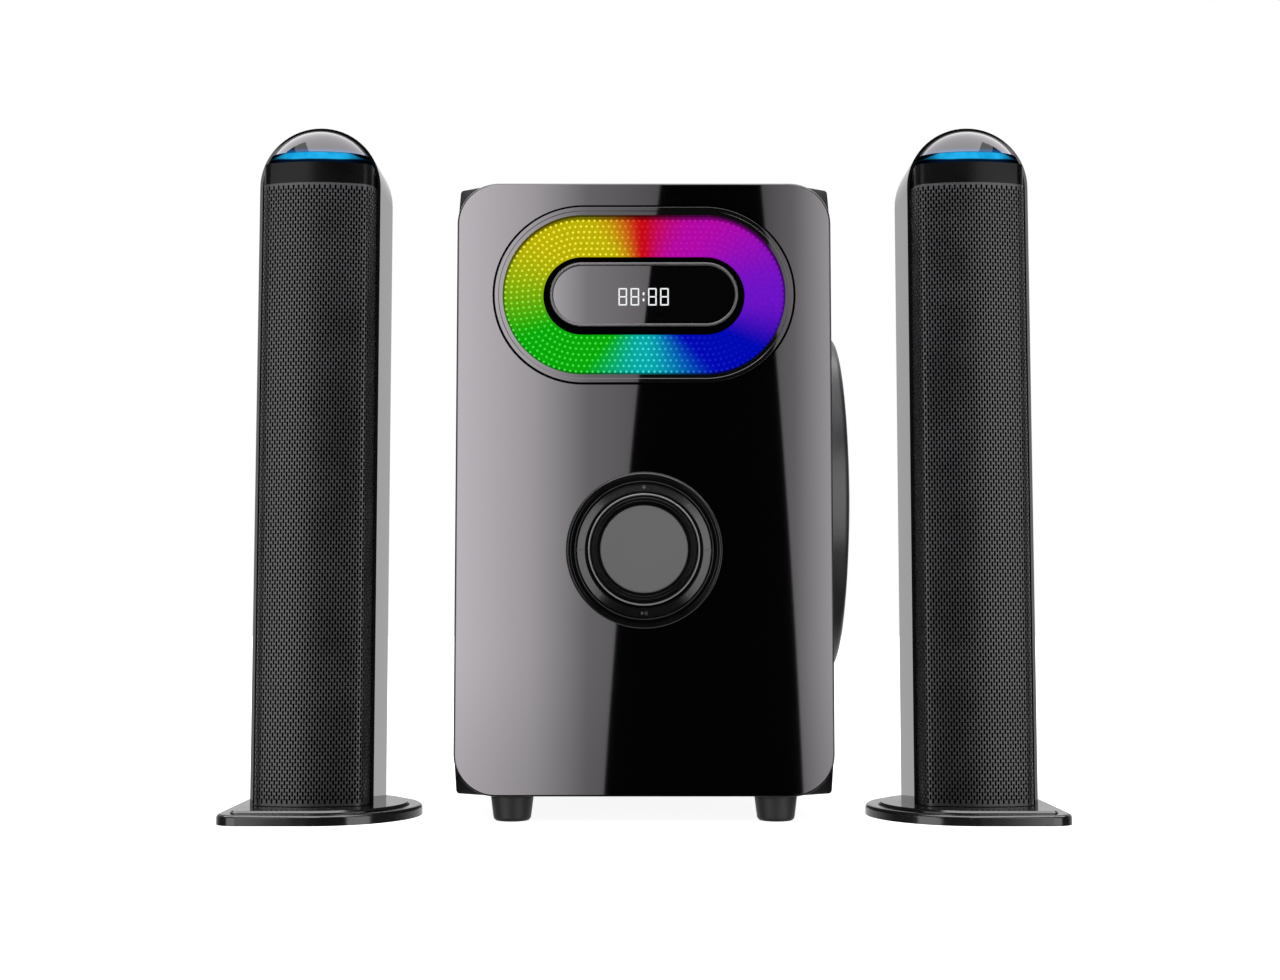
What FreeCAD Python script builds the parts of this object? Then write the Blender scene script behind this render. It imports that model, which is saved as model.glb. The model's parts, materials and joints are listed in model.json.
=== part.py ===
import FreeCAD, Part
import math
import os
import Sketcher
from FreeCAD import Placement, Rotation, Vector
from types import SimpleNamespace

# Desktop speaker set: a subwoofer with a lit control panel, and two satellite towers.
# Millimetres. +Z is up, +X is to the right of someone facing the set, and the fronts face -Y.
# The origin is at the bottom centre of the whole set's box.

DIMENSIONS = (
    # the subwoofer's case
    ("panel_front", -136, "front face of the subwoofer's panel, along Y"),
    ("panel_width", 200, "panel width"),
    ("panel_height", 326, "panel height"),
    ("panel_bottom", 14.5, "underside of the case above the table"),
    ("panel_corner", 22, "corner radius of the panel"),
    ("panel_thickness", 4, "panel thickness"),
    ("panel_edge", 1, "rounding of the panel's front edge"),
    ("frame_square_depth", 16, "depth at which the frame's corners have become square"),
    ("frame_depth", 28, "depth of the frame's back, against the cabinet"),
    ("frame_corner", 2, "corner radius at the back of the frame"),
    ("frame_rim", 8, "width of the frame's rim"),
    ("frame_face_back", 11, "depth of the back of the frame's face"),
    ("cabinet_width", 199, "cabinet width"),
    ("cabinet_back", 138, "back of the cabinet, along Y"),
    ("cabinet_height", 325.5, "cabinet height"),
    ("cabinet_edge", 3, "rounding of the cabinet's upright edges"),
    ("cabinet_wall", 12, "board thickness"),
    ("wiring_hole", 10, "radius of the hole for the panel's wires"),
    ("wiring_height", 208, "height of that hole"),
    ("foot_height", 14.5, "foot height"),
    ("foot_top", 11.8, "foot radius at the top"),
    ("foot_bottom", 10, "foot radius at the bottom"),
    ("foot_spread", 70.5, "foot centre from the middle, along X"),
    ("foot_front", 22, "depth of the front feet"),
    ("foot_rear", 250, "depth of the rear feet"),
    # the light ring and the display
    ("ring_height", 280, "height of the light ring's centre"),
    ("ring_opening_width", 162, "opening for the light ring, width"),
    ("ring_opening_height", 97, "opening for the light ring, height"),
    ("running_gap", 0.2, "gap between fixed pieces that slip into each other"),
    ("trim_proud", 0.6, "how far the trim stands proud of the panel"),
    ("trim_wall", 3.8, "width of the trim's visible lip"),
    ("trim_step", 1.5, "step behind the lip that locates the diffuser"),
    ("trim_drop", 1.5, "extra height of the lip above and below"),
    ("trim_flange_width", 170, "flange width"),
    ("trim_flange_height", 104, "flange height"),
    ("trim_flange", 2, "flange thickness"),
    ("diffuser_depth", 4, "depth of the diffuser's front"),
    ("diffuser_thickness", 3, "diffuser thickness"),
    ("pod_width", 106, "display pod width"),
    ("pod_height", 40, "display pod height"),
    ("pod_proud", 1, "how far the pod stands proud of the panel"),
    ("pod_chamfer", 2, "pod edge chamfer"),
    ("pod_lip", 4.5, "width of the pod's visible rim"),
    ("pod_ledge", 2.5, "width of the ledge behind the window"),
    ("pod_flange", 3, "how far the pod's flange reaches out"),
    ("pod_flange_thickness", 2, "flange thickness"),
    ("window_thickness", 2, "display window thickness"),
    ("digits_width", 60, "digit block width"),
    ("digits_height", 14, "digit block height"),
    ("board_thickness", 1.6, "circuit board thickness"),
    ("display_board_width", 80, "display board width"),
    ("display_board_height", 24, "display board height"),
    ("light_board_width", 176, "light board width"),
    ("light_board_height", 100, "light board height"),
    ("light_board_hole_width", 70, "hole in the light board, width"),
    ("light_board_hole_height", 18, "hole in the light board, height"),
    ("led_size", 5, "light-emitting diode, side"),
    ("led_height", 1.6, "light-emitting diode, height"),
    ("led_track_run", 66, "straight run of the row of diodes"),
    ("led_track_radius", 33, "radius of the row's ends"),
    ("light_boss_x", 83, "light board screws from the middle, along X"),
    ("light_boss_z", 45, "light board screws from the ring's centre, along Z"),
    # the volume knob and its keys
    ("knob_height", 143.5, "height of the knob's axis"),
    ("dial_hole", 39.5, "radius of the hole for the bezel"),
    ("bezel_outer", 41.2, "bezel flange radius"),
    ("bezel_inner", 37.1, "bezel bore"),
    ("bezel_proud", 2, "bezel flange thickness"),
    ("bezel_edge", 0.8, "bezel flange chamfer"),
    ("bezel_floor", 11, "depth of the bezel's floor"),
    ("bezel_floor_thickness", 2, "thickness of that floor"),
    ("bezel_shaft_hole", 3.5, "radius of its hole for the shaft"),
    ("key_outer", 36.8, "key ring outer radius"),
    ("key_inner", 29.9, "key ring inner radius"),
    ("key_dish", 2, "how far the ring dishes towards the knob"),
    ("key_back", 6, "depth of the key ring's back"),
    ("key_post", 1.5, "radius of the posts that work the switches"),
    ("key_post_hole", 1.9, "radius of the holes for the posts"),
    ("key_post_circle", 33.4, "radius of the circle of posts"),
    ("key_post_end", 14.2, "depth of the posts' ends"),
    ("knob_radius", 29.4, "knob radius"),
    ("knob_proud", 14, "how far the knob stands proud of the panel"),
    ("knob_back", 3, "depth of the knob's open back"),
    ("knob_shoulder", 10, "height of the knob's shoulder above the panel"),
    ("knob_rim_outer", 27, "outer radius of the front rim"),
    ("knob_rim_inner", 24.6, "inner radius of the front rim"),
    ("knob_seat_radius", 23.8, "radius of the seat for the cap"),
    ("knob_seat", 12, "height of that seat above the panel"),
    ("knob_wall", 2.4, "knob wall"),
    ("knob_boss", 5, "radius of the boss for the shaft"),
    ("cap_radius", 23.3, "knob cap radius"),
    ("cap_thickness", 1.2, "knob cap thickness"),
    ("shaft_radius", 3, "encoder shaft radius"),
    ("shaft_gap", 0.02, "gap between the shaft and the knob's bore"),
    ("shaft_bearing_gap", 0.05, "gap between the shaft and the encoder"),
    ("shaft_end", 18, "depth of the shaft's end"),
    ("encoder_size", 12, "encoder side"),
    ("control_board_front", 18.4, "depth of the control board's front"),
    ("control_board_width", 92, "control board width"),
    ("control_board_height", 84, "control board height"),
    ("control_boss_x", 41, "control board screws from the middle, along X"),
    ("control_boss_z", 38, "control board screws from the knob's axis, along Z"),
    ("switch_size", 6, "tactile switch side"),
    ("switch_height", 3.5, "tactile switch height"),
    ("boss_radius", 3.5, "radius of the bosses for small screws"),
    ("small_screw", 1.2, "small screw, shank radius"),
    ("small_screw_clear", 1.5, "clearance hole for it"),
    ("small_screw_pilot", 1.25, "pilot hole for it"),
    ("small_screw_head", 2.4, "its head radius"),
    ("small_screw_head_height", 1.6, "its head height"),
    ("small_screw_bite", 4, "how deep it bites"),
    ("pilot_spare", 0.5, "how much deeper than its screw a pilot hole is"),
    # the woofer on the right side of the cabinet
    ("woofer_y", -4, "woofer axis, along Y"),
    ("woofer_z", 177, "woofer axis height"),
    ("woofer_cutout", 73, "radius of the hole in the cabinet"),
    ("flange_radius", 86, "woofer flange radius"),
    ("flange_thickness", 4, "woofer flange thickness"),
    ("seat_radius", 71.4, "radius of the step for the surround"),
    ("seat_depth", 1.1, "depth of that step"),
    ("basket_inner", 70, "basket inner radius"),
    ("basket_wall", 2.5, "basket wall"),
    ("basket_knee", 20, "depth at which the basket turns inwards"),
    ("basket_floor", 55, "depth of the basket's floor"),
    ("basket_floor_thickness", 3, "thickness of that floor"),
    ("basket_floor_radius", 46, "radius of that floor"),
    ("basket_window", 44, "width of the windows in the basket"),
    ("basket_window_floor", 2, "height of the windows' ends above the floor"),
    ("basket_window_knee", 1, "depth of the windows' ends below the knee"),
    ("magnet_radius", 45, "magnet radius"),
    ("magnet_bore", 21, "magnet bore"),
    ("magnet_thickness", 22, "magnet ring thickness"),
    ("magnet_plate", 5, "back plate thickness"),
    ("pole_radius", 17.5, "pole piece radius"),
    ("pole_proud", 2, "how far the pole stands out of the magnet"),
    ("cone_edge", 60, "cone outer radius"),
    ("cone_neck_depth", 31.1, "depth of the cone's neck"),
    ("cone_thickness", 0.9, "cone thickness along its axis"),
    ("former_inner", 19, "voice coil former, inner radius"),
    ("former_wall", 0.4, "former wall"),
    ("former_end", 66, "depth of the former's end"),
    ("dust_cap_radius", 22, "dust cap radius"),
    ("dust_cap_rise", 8, "dust cap height"),
    ("dust_cap_depth", 28.9, "depth of the dust cap's edge"),
    ("dust_cap_wall", 0.8, "dust cap wall"),
    ("roll_middle", 65.5, "radius of the middle of the surround's roll"),
    ("roll_radius", 5.5, "radius of the roll"),
    ("roll_wall", 0.8, "roll wall"),
    ("spider_outer", 47, "spider outer radius"),
    ("spider_depth", 50, "spider depth"),
    ("spider_thickness", 0.6, "spider thickness"),
    ("spider_gap", 0.1, "gap between the spider and the former"),
    ("dome_base", 103, "grille radius on the cabinet"),
    ("dome_shoulder", 99.5, "grille radius at its shoulder"),
    ("dome_shoulder_height", 13, "height of the shoulder"),
    ("dome_height", 21, "height of the grille's crown"),
    ("dome_wall", 1.5, "grille wall"),
    ("big_screw", 1.9, "large screw, shank radius"),
    ("big_screw_clear", 2.1, "clearance hole for it"),
    ("big_screw_pilot", 1.95, "pilot hole for it"),
    ("big_screw_head", 3.5, "its head radius"),
    ("big_screw_head_height", 2.2, "its head height"),
    ("big_screw_bite", 10, "how deep it bites"),
    ("woofer_screw_circle", 79.5, "radius of the circle of woofer screws"),
    # the rear plate and the works behind it
    ("plate_width", 120, "rear plate width"),
    ("plate_bottom", 30, "rear plate bottom"),
    ("plate_top", 250, "rear plate top"),
    ("plate_thickness", 2, "rear plate thickness"),
    ("plate_corner", 4, "rear plate corner radius"),
    ("plate_margin", 8, "how far the plate overlaps the cabinet"),
    ("amp_front", 113, "front of the amplifier board, along Y"),
    ("amp_width", 92, "amplifier board width"),
    ("amp_bottom", 100, "amplifier board bottom"),
    ("amp_top", 234, "amplifier board top"),
    ("amp_boss_x", 40, "standoffs from the middle, along X"),
    ("amp_boss_inset", 6, "standoffs from the board's ends, along Z"),
    ("capacitor_radius", 8, "capacitor radius"),
    ("capacitor_height", 25, "capacitor height"),
    ("capacitor_pitch", 20, "distance between capacitors"),
    ("capacitor_rise", 16, "capacitor centres above the board's lower edge"),
    ("connector_x", 28, "wire connectors from the middle, along X"),
    ("heatsink_width", 60, "heat sink width"),
    ("heatsink_depth", 22, "heat sink depth"),
    ("heatsink_fin", 2, "heat sink fin thickness"),
    ("heatsink_height", 26, "heat sink height"),
    ("jack_z", 215, "height of the line sockets"),
    ("jack_pitch", 24, "distance between line sockets"),
    ("jack_barrel", 4.15, "line socket barrel radius"),
    ("jack_stem", 3.2, "radius of the stem that carries the barrel through the plate"),
    ("jack_standoff", 0.6, "start of the barrel outside the plate"),
    ("jack_clear", 3.5, "hole for the stem"),
    ("jack_bore", 1.6, "line socket bore"),
    ("jack_length", 10, "barrel length outside the plate"),
    ("jack_root", 1, "how far the barrel runs into the body behind it"),
    ("jack_body", 12, "side of the socket's body"),
    ("mains_z", 66, "height of the mains inlet and the rocker"),
    ("inlet_x", -28, "mains inlet, along X"),
    ("inlet_width", 24, "inlet body width"),
    ("inlet_height", 16, "inlet body height"),
    ("inlet_corner", 1, "corner radius of the inlet's and the rocker housing's bodies"),
    ("inlet_lip", 2.5, "how far the inlet's flange reaches out"),
    ("inlet_flange", 1.5, "inlet flange thickness"),
    ("inlet_depth", 24, "inlet body depth inside the plate"),
    ("recess_width", 15, "inlet recess width"),
    ("recess_height", 8, "inlet recess height"),
    ("recess_depth", 14.5, "inlet recess depth"),
    ("contact_radius", 1.2, "contact pin radius"),
    ("contact_spread", 4.3, "contact pin from the inlet's middle"),
    ("contact_length", 12, "contact pin length"),
    ("rocker_x", 28, "rocker switch, along X"),
    ("rocker_width", 13, "rocker width"),
    ("rocker_reach", 9, "rocker half height"),
    ("rocker_front", 4.2, "rocker tips beyond its pivot"),
    ("rocker_valley", 3.1, "rocker's middle beyond its pivot"),
    ("rocker_back", 4, "rocker's back behind its pivot"),
    ("rocker_back_reach", 6, "half height of its back"),
    ("rocker_pin", 1.5, "rocker pivot radius"),
    ("rocker_pin_gap", 0.05, "gap around the pivot"),
    ("rocker_gap", 0.2, "gap beside the rocker"),
    ("housing_wall", 1.5, "rocker housing wall"),
    ("housing_lip", 1.5, "how far its flange reaches out"),
    ("housing_cavity", 20.4, "height of its cavity"),
    ("housing_depth", 16, "housing depth inside the plate"),
    ("housing_floor", 10, "depth of the cavity behind the pivot"),
    ("port_z", 285, "bass port height"),
    ("port_inner", 25, "bass port bore"),
    ("port_outer", 27.4, "bass port tube, outer radius"),
    ("port_clear", 27.5, "hole for the port"),
    ("port_flange", 33, "bass port flange radius"),
    ("port_length", 110, "port length inside the plate"),
    ("port_flare", 5, "flare of the port's mouth"),
    ("core_width", 62, "transformer core width"),
    ("core_depth", 26, "transformer core depth"),
    ("core_height", 52, "transformer core height"),
    ("coil_width", 34, "transformer coil width"),
    ("coil_depth", 48, "transformer coil depth"),
    ("coil_height", 34, "transformer coil height"),
    ("transformer_y", 48, "transformer centre, along Y"),
    ("transformer_x", -30, "transformer centre, along X"),
    # the towers
    ("tower_x", 180, "tower centre from the middle"),
    ("rim_front", -103, "front of the tower's rim, along Y"),
    ("arch_height", 346.5, "height of the arch's centre"),
    ("arch_radius", 33.5, "arch radius, half the tower's width"),
    ("rim_width", 1.5, "width of the rim"),
    ("rim_depth", 3, "depth of the recess inside the rim"),
    ("front_plate", 3, "thickness of the driver plate"),
    ("front_depth", 8, "depth of the front frame"),
    ("shell_depth", 56, "depth of the shell's back"),
    ("shell_wall", 2.5, "shell wall"),
    ("shell_round", 10, "rounding of the shell's back edge"),
    ("base_thickness", 5.6, "base thickness at its edge"),
    ("base_round", 2, "rounding of the base's edge"),
    ("base_outer", 44.5, "outer end of the base, from the tower's middle"),
    ("base_bulge", 5, "centre of its half-round inner end, from the tower's middle"),
    ("base_front", -40, "front of the base, from the rim"),
    ("base_back", 66, "back of the base, from the rim"),
    ("base_corner", 12, "radius of the base's outer corners"),
    ("plateau_inset", 7, "inset of the raised middle"),
    ("plateau_top", 7, "height of the raised middle"),
    ("plateau_edge", 1, "chamfer of the raised middle"),
    ("tower_screw_x", 19, "base screws from the middle, along X"),
    ("tower_screw_front", 18, "front base screws, from the rim"),
    ("tower_screw_rear", 44, "rear base screws, from the rim"),
    ("tower_boss", 4, "radius of the bosses in the shell"),
    ("tower_boss_top", 18, "height of the bosses in the shell"),
    ("tower_screw", 1.45, "base screw, shank radius"),
    ("tower_pilot", 1.5, "pilot hole"),
    ("tower_clear", 1.7, "clearance hole"),
    ("tower_head", 3, "head radius"),
    ("tower_counterbore", 3.2, "counterbore radius"),
    ("tower_seat", 3.5, "height of the counterbore's seat"),
    ("tower_head_height", 2.2, "head height"),
    ("tower_screw_end", 16, "height of the screws' ends"),
    ("grille_bottom", 7.3, "bottom of the grille"),
    ("grille_top", 346, "top of the grille"),
    ("grille_foot", 31.4, "half width of the grille at its feet"),
    ("grille_lean", 0.17, "how much the grille's sides lean in, per unit forwards"),
    ("grille_corner", 7, "radius of the grille's front corners"),
    ("grille_crown", 80, "radius of the grille's crowned face"),
    ("grille_front", -14, "front of the grille, from the rim"),
    ("grille_sheet", 1, "sheet thickness"),
    ("cap_wall", 1.6, "grille cap wall"),
    ("cap_top", 357.5, "top of the grille cap"),
    ("guide_top", 363.5, "top of the light guide"),
    ("lens_radius", 31.8, "radius of the lens in the arch"),
    ("lens_bulge", 15, "how far the lens bulges forwards"),
    ("driver_upper_z", 296, "upper driver height"),
    ("driver_lower_z", 236, "lower driver height"),
    ("driver_cutout", 22.5, "hole for a driver"),
    ("driver_flange", 26, "driver flange radius"),
    ("driver_flange_front", 0.8, "depth of the flange's front"),
    ("driver_bore", 21.2, "driver bore"),
    ("driver_wall", 1.1, "driver basket wall"),
    ("driver_knee", 9, "depth at which its basket turns inwards"),
    ("driver_magnet", 16, "driver magnet radius"),
    ("driver_step", 1, "width of the magnet's front edge outside the basket"),
    ("driver_magnet_front", 20, "depth of the magnet's front"),
    ("driver_magnet_back", 32, "depth of the magnet's back"),
    ("driver_gap_outer", 9.2, "outer radius of its magnetic gap"),
    ("driver_pole", 7.2, "pole radius"),
    ("driver_pole_proud", 1, "how far the pole stands out"),
    ("driver_plate", 2, "back plate thickness"),
    ("small_roll", 1.9, "radius of the driver's roll"),
    ("small_roll_edge", 21, "outer radius of that roll"),
    ("small_cone_front", 2, "depth of the cone's edge"),
    ("small_cone_wall", 0.6, "cone wall along its axis"),
    ("small_cone_neck", 9, "radius of the cone's neck"),
    ("small_cone_depth", 8, "depth of the neck"),
    ("small_dome_rise", 3, "height of the dome"),
    ("small_former", 8, "former inner radius"),
    ("small_former_wall", 0.4, "former wall"),
    ("small_former_end", 25, "depth of the former's end"),
    ("tower_jack_z", 34, "height of the tower's line socket"),
    ("tower_jack_flange", 6.5, "radius of its flange inside"),
    ("tower_jack_flange_thickness", 3, "thickness of that flange"),
)

LED_PER_RUN = 6
WOOFER_SCREWS = 6
KEY_POSTS = 4
HEATSINK_FINS = 7
ROCKER_TILT = math.radians(-7)
CAPACITORS = 4
LINE_SOCKETS = 4
PAST = 1  # how far a cutting tool reaches past the surface that it opens

doc = FreeCAD.newDocument("speakers")
sheet = doc.addObject("Spreadsheet::Sheet", "dims")
parts = []


# ---------------------------------------------------------------------------------- sizes

class Size:
    """A length as a number, together with the sheet expression that gives it."""

    def __init__(self, value, text):
        self.value = value
        self.text = text

    def __add__(self, other):
        return combine(self, other, "+", lambda a, b: a + b)

    def __radd__(self, other):
        return size(other) + self

    def __sub__(self, other):
        return combine(self, other, "-", lambda a, b: a - b)

    def __rsub__(self, other):
        return size(other) - self

    def __mul__(self, other):
        return combine(self, other, "*", lambda a, b: a * b)

    def __rmul__(self, other):
        return size(other) * self

    def __truediv__(self, other):
        return combine(self, other, "/", lambda a, b: a / b)

    def __neg__(self):
        return size(0) - self


def size(amount):
    """Return a plain number as a Size; a Size stays as it is."""
    if isinstance(amount, Size):
        return amount
    return Size(float(amount), "(%r)" % float(amount))


def combine(left, right, sign, work):
    left, right = size(left), size(right)
    return Size(work(left.value, right.value), "(%s %s %s)" % (left.text, sign, right.text))


def root(amount):
    return Size(math.sqrt(amount.value), "sqrt(%s)" % amount.text)


def fill_sheet():
    """Write the driving dimensions, and return them as Sizes by name."""
    sizes = SimpleNamespace()
    for row, (name, value, note) in enumerate(DIMENSIONS, start=1):
        sheet.set("A%d" % row, name)
        sheet.set("B%d" % row, str(value))
        sheet.setAlias("B%d" % row, name)
        sheet.set("C%d" % row, note)
        setattr(sizes, name, Size(float(value), "dims." + name))
    return sizes


D = fill_sheet()
doc.recompute()


def bind(item, prop, amount):
    item.setExpression(prop, size(amount).text)


def depth(amount):
    """Y at a depth behind the front of the subwoofer's panel."""
    return D.panel_front + amount


def behind(amount):
    """Y at a depth behind the front of the towers' rims."""
    return D.rim_front + amount


# ------------------------------------------------------------------------ sketched loops

def corner_point(corner):
    return Vector(size(corner[0]).value, size(corner[1]).value, 0)


def edge_between(corner, following):
    """The line, or the arc about a centre, from one corner to the next."""
    start, end = corner_point(corner), corner_point(following)
    if len(corner) == 2:
        return Part.LineSegment(start, end), (1, 2)
    centre = corner_point(corner[2:4])
    first, last, ends = (start, end, (1, 2)) if corner[4] > 0 else (end, start, (2, 1))
    first, last = first - centre, last - centre
    angle = math.atan2(first.y, first.x)
    sweep = (math.atan2(last.y, last.x) - angle) % (2 * math.pi)
    circle_curve = Part.Circle(centre, Vector(0, 0, 1), first.Length)
    return Part.ArcOfCircle(circle_curve, angle, angle + sweep), ends


def path(*corners):
    """A closed loop. A corner is (x, y), or (x, y, centre_x, centre_y, turn) where an arc
    leaves it: turn is 1 for an anticlockwise arc and -1 for a clockwise one."""
    def draw(sketch):
        first = sketch.GeometryCount
        count = len(corners)
        edges = [edge_between(corners[i], corners[(i + 1) % count]) for i in range(count)]
        sketch.addGeometry([edge for edge, ends in edges], False)
        rules = []
        for i, corner in enumerate(corners):
            start, end = edges[i][1]
            following = (i + 1) % count
            joint = (first + i, end, first + following, edges[following][1][0])
            rules.append((Sketcher.Constraint("Coincident", *joint), ""))
            rules.append(rule("DistanceX", first + i, start, corner[0]))
            rules.append(rule("DistanceY", first + i, start, corner[1]))
            if len(corner) > 2:
                chord = corner_point(corners[following]) - corner_point(corner)
                if abs(chord.x) >= abs(chord.y):
                    rules.append(rule("DistanceY", first + i, 3, corner[3]))
                else:
                    rules.append(rule("DistanceX", first + i, 3, corner[2]))
        apply_rules(sketch, rules)
    return draw


def rule(kind, edge, vertex, amount):
    amount = size(amount)
    return Sketcher.Constraint(kind, edge, vertex, amount.value), amount.text


def apply_rules(sketch, rules):
    """Add the constraints, each bound to the sheet where its size comes from it."""
    places = sketch.addConstraint([constraint for constraint, text in rules])
    for place, (constraint, text) in zip(places, rules):
        if "dims." in text:
            sketch.setExpression("Constraints[%d]" % place, text)


def circle(radius, x=0, y=0):
    def draw(sketch):
        edge = sketch.GeometryCount
        centre = corner_point((x, y))
        sketch.addGeometry(Part.Circle(centre, Vector(0, 0, 1), size(radius).value), False)
        radius_rule = (Sketcher.Constraint("Radius", edge, size(radius).value), size(radius).text)
        apply_rules(sketch, [radius_rule, rule("DistanceX", edge, 3, x), rule("DistanceY", edge, 3, y)])
    return draw


def rectangle(low_x, high_x, low_y, high_y):
    return path((low_x, low_y), (high_x, low_y), (high_x, high_y), (low_x, high_y))


def rounded_box(width, height, radius, x=0, y=0):
    left, right = x - width / 2, x + width / 2
    bottom, top = y - height / 2, y + height / 2
    near_left, near_right = left + radius, right - radius
    near_bottom, near_top = bottom + radius, top - radius
    return path((near_left, bottom), (near_right, bottom, near_right, near_bottom, 1),
                (right, near_bottom), (right, near_top, near_right, near_top, 1),
                (near_right, top), (near_left, top, near_left, near_top, 1),
                (left, near_top), (left, near_bottom, near_left, near_bottom, 1))


def stadium(width, height, x=0, y=0):
    run, radius = (width - height) / 2, height / 2
    return path((x - run, y - radius), (x + run, y - radius, x + run, y, 1),
                (x + run, y + radius), (x - run, y + radius, x - run, y, 1))


def arch(radius, bottom):
    """A tower's outline: upright sides from the bottom up to a half round."""
    return path((-radius, bottom), (radius, bottom), (radius, D.arch_height, 0, D.arch_height, 1),
                (-radius, D.arch_height))


# --------------------------------------------------------------------- PartDesign features

PLANES = {"XY": 1, "XZ": -1, "YZ": 1}  # each origin plane, and which way its normal points


def new_body(name):
    return doc.addObject("PartDesign::Body", name)


def new_sketch(body, plane, level, loops):
    sketch = body.newObject("Sketcher::SketchObject", "sketch")
    role = plane + "_Plane"
    support = next(item for item in body.Origin.OriginFeatures if item.Role == role)
    sketch.AttachmentSupport = [(support, "")]
    sketch.MapMode = "FlatFace"
    bind(sketch, "AttachmentOffset.Base.z", size(level) * PLANES[plane])
    for draw in loops:
        draw(sketch)
    return sketch


def extrude(body, kind, plane, low, high, loops):
    """Add or remove the loops' area between two levels along the plane's axis."""
    adds = kind == "PartDesign::Pad"
    level = low if adds == (PLANES[plane] > 0) else high
    sketch = new_sketch(body, plane, level, loops)
    feature = body.newObject(kind, kind.split("::")[1].lower())
    feature.Profile = sketch
    bind(feature, "Length", size(high) - low)
    return feature


def pad(body, plane, low, high, *loops):
    return extrude(body, "PartDesign::Pad", plane, low, high, loops)


def pocket(body, plane, low, high, *loops):
    return extrude(body, "PartDesign::Pocket", plane, low, high, loops)


def loft(body, plane, first, last, first_loop, last_loop):
    feature = body.newObject("PartDesign::AdditiveLoft", "loft")
    feature.Profile = new_sketch(body, plane, first, [first_loop])
    feature.Sections = [new_sketch(body, plane, last, [last_loop])]
    return feature


def revolve(body, *corners):
    """Turn a section, given as radius and height, about the body's own Z axis."""
    sketch = new_sketch(body, "XZ", 0, [path(*corners)])
    feature = body.newObject("PartDesign::Revolution", "revolution")
    feature.Profile = sketch
    feature.ReferenceAxis = (sketch, ["V_Axis"])
    feature.Angle = 360
    return feature


def dress(body, kind, amount, chosen):
    """Fillet or chamfer the edges of the body's tip whose boxes pass the chosen test."""
    doc.recompute()
    tip = body.Tip
    names = ["Edge%d" % (i + 1) for i, edge in enumerate(tip.Shape.Edges) if chosen(edge.BoundBox)]
    feature = body.newObject(kind, kind.split("::")[1].lower())
    feature.Base = (tip, names)
    bind(feature, "Radius" if kind.endswith("Fillet") else "Size", amount)
    return feature


def fillet(body, amount, chosen):
    return dress(body, "PartDesign::Fillet", amount, chosen)


def chamfer(body, amount, chosen):
    return dress(body, "PartDesign::Chamfer", amount, chosen)


def at_level(axis, level):
    """A test for edges that lie flat at one level along an axis."""
    def chosen(bounds):
        low, high = getattr(bounds, axis + "Min"), getattr(bounds, axis + "Max")
        return abs(low - size(level).value) < 0.001 and abs(high - size(level).value) < 0.001
    return chosen


# ---------------------------------------------------------------- primitives and booleans

AXES = {
    "X": (Rotation(Vector(0, 1, 0), 90), "xyz"),
    "Y": (Rotation(Vector(1, 0, 0), -90), "yxz"),
    "Z": (Rotation(), "zxy"),
}
FACING_FRONT = Rotation(Vector(1, 0, 0), 90)  # turns a body's own Z axis towards the front


def place(item, x=0, y=0, z=0, rotation=None):
    if rotation is not None:
        item.Placement = Placement(Vector(), rotation)
    for letter, amount in zip("xyz", (x, y, z)):
        bind(item, "Placement.Base." + letter, amount)
    return item


def box(x, y, z):
    """A box from three (low, high) pairs."""
    item = doc.addObject("Part::Box", "box")
    for prop, (low, high) in zip(("Length", "Width", "Height"), (x, y, z)):
        bind(item, prop, size(high) - low)
    return place(item, x[0], y[0], z[0])


def stand(item, axis, low, centre):
    """Stand a primitive on its low end along an axis, at a centre across it."""
    rotation, letters = AXES[axis]
    item.Placement = Placement(Vector(), rotation)
    for letter, amount in zip(letters, (low,) + centre):
        bind(item, "Placement.Base." + letter, amount)
    return item


def cylinder(axis, radius, low, high, centre):
    item = doc.addObject("Part::Cylinder", "cylinder")
    bind(item, "Radius", radius)
    bind(item, "Height", size(high) - low)
    return stand(item, axis, low, centre)


def cone(axis, low_radius, high_radius, low, high, centre):
    item = doc.addObject("Part::Cone", "cone")
    bind(item, "Radius1", low_radius)
    bind(item, "Radius2", high_radius)
    bind(item, "Height", size(high) - low)
    return stand(item, axis, low, centre)


def fuse(*items):
    result = doc.addObject("Part::MultiFuse", "fusion")
    result.Shapes = list(items)
    return result


def cut(base, *tools):
    result = doc.addObject("Part::Cut", "cut")
    result.Base = base
    result.Tool = tools[0] if len(tools) == 1 else fuse(*tools)
    return result


def common(base, tool):
    result = doc.addObject("Part::Common", "common")
    result.Base = base
    result.Tool = tool
    return result


def group(items):
    """Separate solids that share one node."""
    result = doc.addObject("Part::Compound", "group")
    result.Links = list(items)
    return result


def keep(name, item):
    """Make an object a sub-part of the set, under its own name."""
    item.Label = name
    parts.append(item)
    return item


def four_corners(x, z):
    return [(side * x, level * z) for side in (-1, 1) for level in (-1, 1)]


def on_circle(radius, count, x=0, y=0, start=0.0):
    """Evenly spaced points on a circle, as (x, y) pairs."""
    turns = [start + 2 * math.pi * i / count for i in range(count)]
    return [(x + radius * math.cos(turn), y + radius * math.sin(turn)) for turn in turns]


def screw(axis, seat, inwards, centre, shank, bite, head, head_height):
    """A pan-head screw: its head stands outside the seat and its shank goes inwards (1 or -1)."""
    ends = sorted((size(seat), seat + inwards * bite), key=lambda level: level.value)
    head_ends = sorted((size(seat), seat - inwards * head_height), key=lambda level: level.value)
    return fuse(cylinder(axis, shank, ends[0], ends[1], centre),
                cylinder(axis, head, head_ends[0], head_ends[1], centre))


# ------------------------------------------------------------------- the subwoofer's case

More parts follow.
